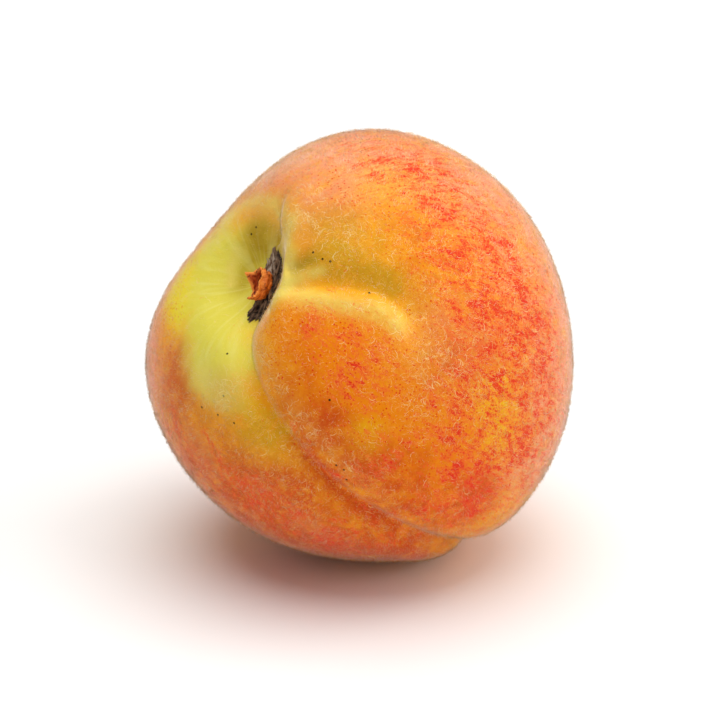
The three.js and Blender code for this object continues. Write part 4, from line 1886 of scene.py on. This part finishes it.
@dataclass
class StemStub:
    """The torn cup of stalk wood that stands on the scar.

    Foot and mouth are its half widths along and across the scar. The rim is rows of around, height and how
    far it curls in. The outline runs from the middle of the cup's floor over the rim to the middle of the
    foot: rows of the share of that run, the spread from the axis, inside (0) or outside (1), and the level.
    """

    ground: ScarGround
    scar: BarkScar
    finish: StalkFinish = StalkFinish()
    foot: Pair = (2.2, 1.25)
    mouth: Pair = (2.7, 1.65)
    lean: Pair = (-0.5, 0.0)
    wall: float = 0.34
    floor: float = 0.7
    sunk: float = 0.1
    rim: Rows = (
        (0, 2.2, 0.1), (30, 2.1, 0.0), (50, 2.3, 0.0), (66, 3.5, -0.2), (80, 2.5, 0.0), (92, 1.6, 0.1),
        (112, 1.0, 0.1), (130, 1.4, 0.0), (146, 1.2, 0.0), (164, 2.6, -0.1), (182, 1.9, 0.2),
        (200, 2.3, 0.4), (235, 2.0, 0.7), (275, 2.5, 0.6), (320, 2.1, 0.4),
    )
    serration: Waves = ((0.05, 13, 1), (0.05, 29, 0), (0.03, 53, 0))
    outline: Rows = (
        (0.0, 0.0, 0.0, 0.0), (0.14, 0.8, 0.0, 0.0), (0.2, 1.0, 0.0, 0.04), (0.46, 1.0, 0.0, 0.97),
        (0.5, 1.0, 0.5, 1.0), (0.54, 1.0, 1.0, 0.97), (0.86, 1.0, 1.0, 0.0), (1.0, 0.0, 1.0, -0.05),
    )

    def build(self) -> bpy.types.Object:
        """Shapes, dresses and lays the stub.

        Returns:
            The stub's piece, which rides on the body and replaces the plain solid.
        """
        stub = new_ball("stem_stub_wood", 168, 96, 1.0)
        polar, around = ball_places(stub)
        run = polar / 180.0
        knots = np.array(self.outline)
        spread, outer, level = (np.interp(run, knots[:, 0], knots[:, i]) for i in (1, 2, 3))
        angle = np.radians(around)
        top = ring_profile(self.rim, around, 1) + ripple(angle, self.serration)
        curl = ring_profile(self.rim, around, 2)
        inner = 1.0 - outer
        floor = self.floor * inner
        height = floor + (top - floor) * np.clip(level, -0.1, 1.0)
        rise = np.clip(height / top, 0.0, 1.0)
        bands = 0.09 * np.sin(13.0 * rise + ripple(angle, ((1.6, 2, 0), (0.9, 5, 1))))
        flutes = ripple(angle, ((0.06, 7, 1.5 * rise), (0.03, 17, 3.0 * rise + 1.0)))
        shrink = self.wall * inner - (bands + flutes) * smooth(spread, 0.5, 1.0)
        shrink += curl * smooth(rise, 0.55, 1.0)
        axes = [self.foot[i] + (self.mouth[i] - self.foot[i]) * rise for i in (0, 1)]
        along = spread * (axes[0] - shrink) * np.cos(angle) + self.lean[0] * rise
        across = spread * (axes[1] - shrink) * np.sin(angle) + self.lean[1] * rise
        points = self._standing(along, across, height)
        move_points(stub, self.ground.form.laid(points))
        store(stub, "fibres", np.stack([along, across, height], -1) * MM)
        store(stub, "inner", inner * smooth(spread, 0.0, 0.2))
        store(stub, "level", rise)
        bpy.ops.object.shade_smooth()
        stub.data.materials.append(self.finish.material())
        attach(stub, "root")
        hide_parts("stem_stub")
        log.info("%s: %d faces", stub.name, len(stub.data.polygons))
        return stub

    def _standing(self, along: Array, across: Array, height: Array) -> Array:
        """Points of the stub, which stands on the middle of the scar.

        Args:
            along: Along the scar, in millimetres.
            across: Across the scar.
            height: Above the stub's foot.

        Returns:
            The points in the fruit's axes, one a row.
        """
        middle = np.zeros(1)
        foot = self.scar.top(middle, middle)[0] - self.sunk
        base = self.ground.above(middle, middle, middle)[0]
        u, v = self.ground.turned(along, across)
        return base + np.stack([u, v, foot + height], -1)


# ---- The studio ---------------------------------------------------------------------------------
@dataclass(frozen=True)
class Lamp:
    """A broad, distant lamp, whose light is even over the floor. Spread is in degrees."""

    name: str
    strength: float
    toward: tuple[float, float, float]
    spread: float = 60.0

    def hang(self) -> None:
        """Hangs the lamp."""
        light = bpy.data.lights.new(self.name, "SUN")
        light.energy = self.strength
        light.angle = math.radians(self.spread)
        lamp = bpy.data.objects.new(self.name, light)
        lamp.rotation_euler = Vector(self.toward).to_track_quat("Z", "Y").to_euler()
        bpy.context.scene.collection.objects.link(lamp)


@dataclass
class Studio:
    """A plain pale floor, soft light and the camera."""

    form: PeachForm
    floor_radius: float = 3000.0
    floor_drop: float = 0.05
    floor_colour: Colour = Colour(248, 247, 245)
    floor_shade: Colour = Colour(244, 243, 241)
    floor_gloss: float = 0.5
    sky: float = 0.25
    lamps: tuple[Lamp, ...] = (
        Lamp("top_lamp", 2.45, (0.0, 0.0, 1.0)),
        Lamp("right_lamp", 1.25, (0.8, -0.1, 0.6)),
    )
    lens: float = 85.0
    elevation: float = 20.0
    distance: float = 280.0
    aim_below: float = 2.5

    def build(self) -> None:
        """Makes the floor, the lights and the camera."""
        self._floor()
        self._sky()
        for lamp in self.lamps:
            lamp.hang()
        self._camera()
        bpy.context.scene.view_settings.view_transform = "Standard"

    def _floor(self) -> None:
        """Lays the floor."""
        bpy.ops.object.select_all(action="DESELECT")
        low = (0, 0, -self.floor_drop * MM)
        bpy.ops.mesh.primitive_circle_add(
            vertices=96, radius=self.floor_radius * MM, fill_type="NGON", location=low
        )
        floor = bpy.context.object
        floor.name = "studio_floor"
        bench = Bench("floor_paint")
        cloud = bench.grain(bench.place(), 40.0, 2.0)
        colour = bench.coat(self.floor_colour, self.floor_shade, cloud)
        roughness = bench.window(cloud, 0.3, 0.7, (0.85, 0.9))
        relief = bench.relief(cloud, 0.01)
        floor.data.materials.append(bench.finish(colour, roughness, self.floor_gloss, relief))

    def _sky(self) -> None:
        """Lights the world evenly."""
        world = bpy.data.worlds.new("studio_world")
        world.use_nodes = True
        background = world.node_tree.nodes["Background"]
        background.inputs["Color"].default_value = (1.0, 1.0, 1.0, 1.0)
        background.inputs["Strength"].default_value = self.sky
        bpy.context.scene.world = world

    def _camera(self) -> None:
        """Sets the camera level with the fruit's front, a little above it."""
        data = bpy.data.cameras.new("camera")
        data.lens = self.lens
        data.clip_start = 0.01
        data.clip_end = 20.0
        camera = bpy.data.objects.new("camera", data)
        tilt = math.radians(self.elevation)
        up = Vector((0.0, math.sin(tilt), math.cos(tilt)))
        back = Vector((0.0, -math.cos(tilt), math.sin(tilt)))
        camera.location = (Vector(self.form.move) + back * self.distance - up * self.aim_below) * MM
        camera.rotation_euler = (math.radians(90.0 - self.elevation), 0.0, 0.0)
        bpy.context.scene.collection.objects.link(camera)
        bpy.context.scene.camera = camera


def main() -> None:
    """Builds the peach piece by piece, and then its studio."""
    logging.basicConfig(level=logging.INFO, format="%(name)s: %(message)s")
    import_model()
    form = PeachForm()
    skin = Skin(form).build()
    ground = ScarGround(form)
    scar = BarkScar(ground)
    scar.build()
    StemStub(ground, scar).build()
    Down(form).build(skin)
    Studio(form).build()


if __name__ == "__main__":
    main()
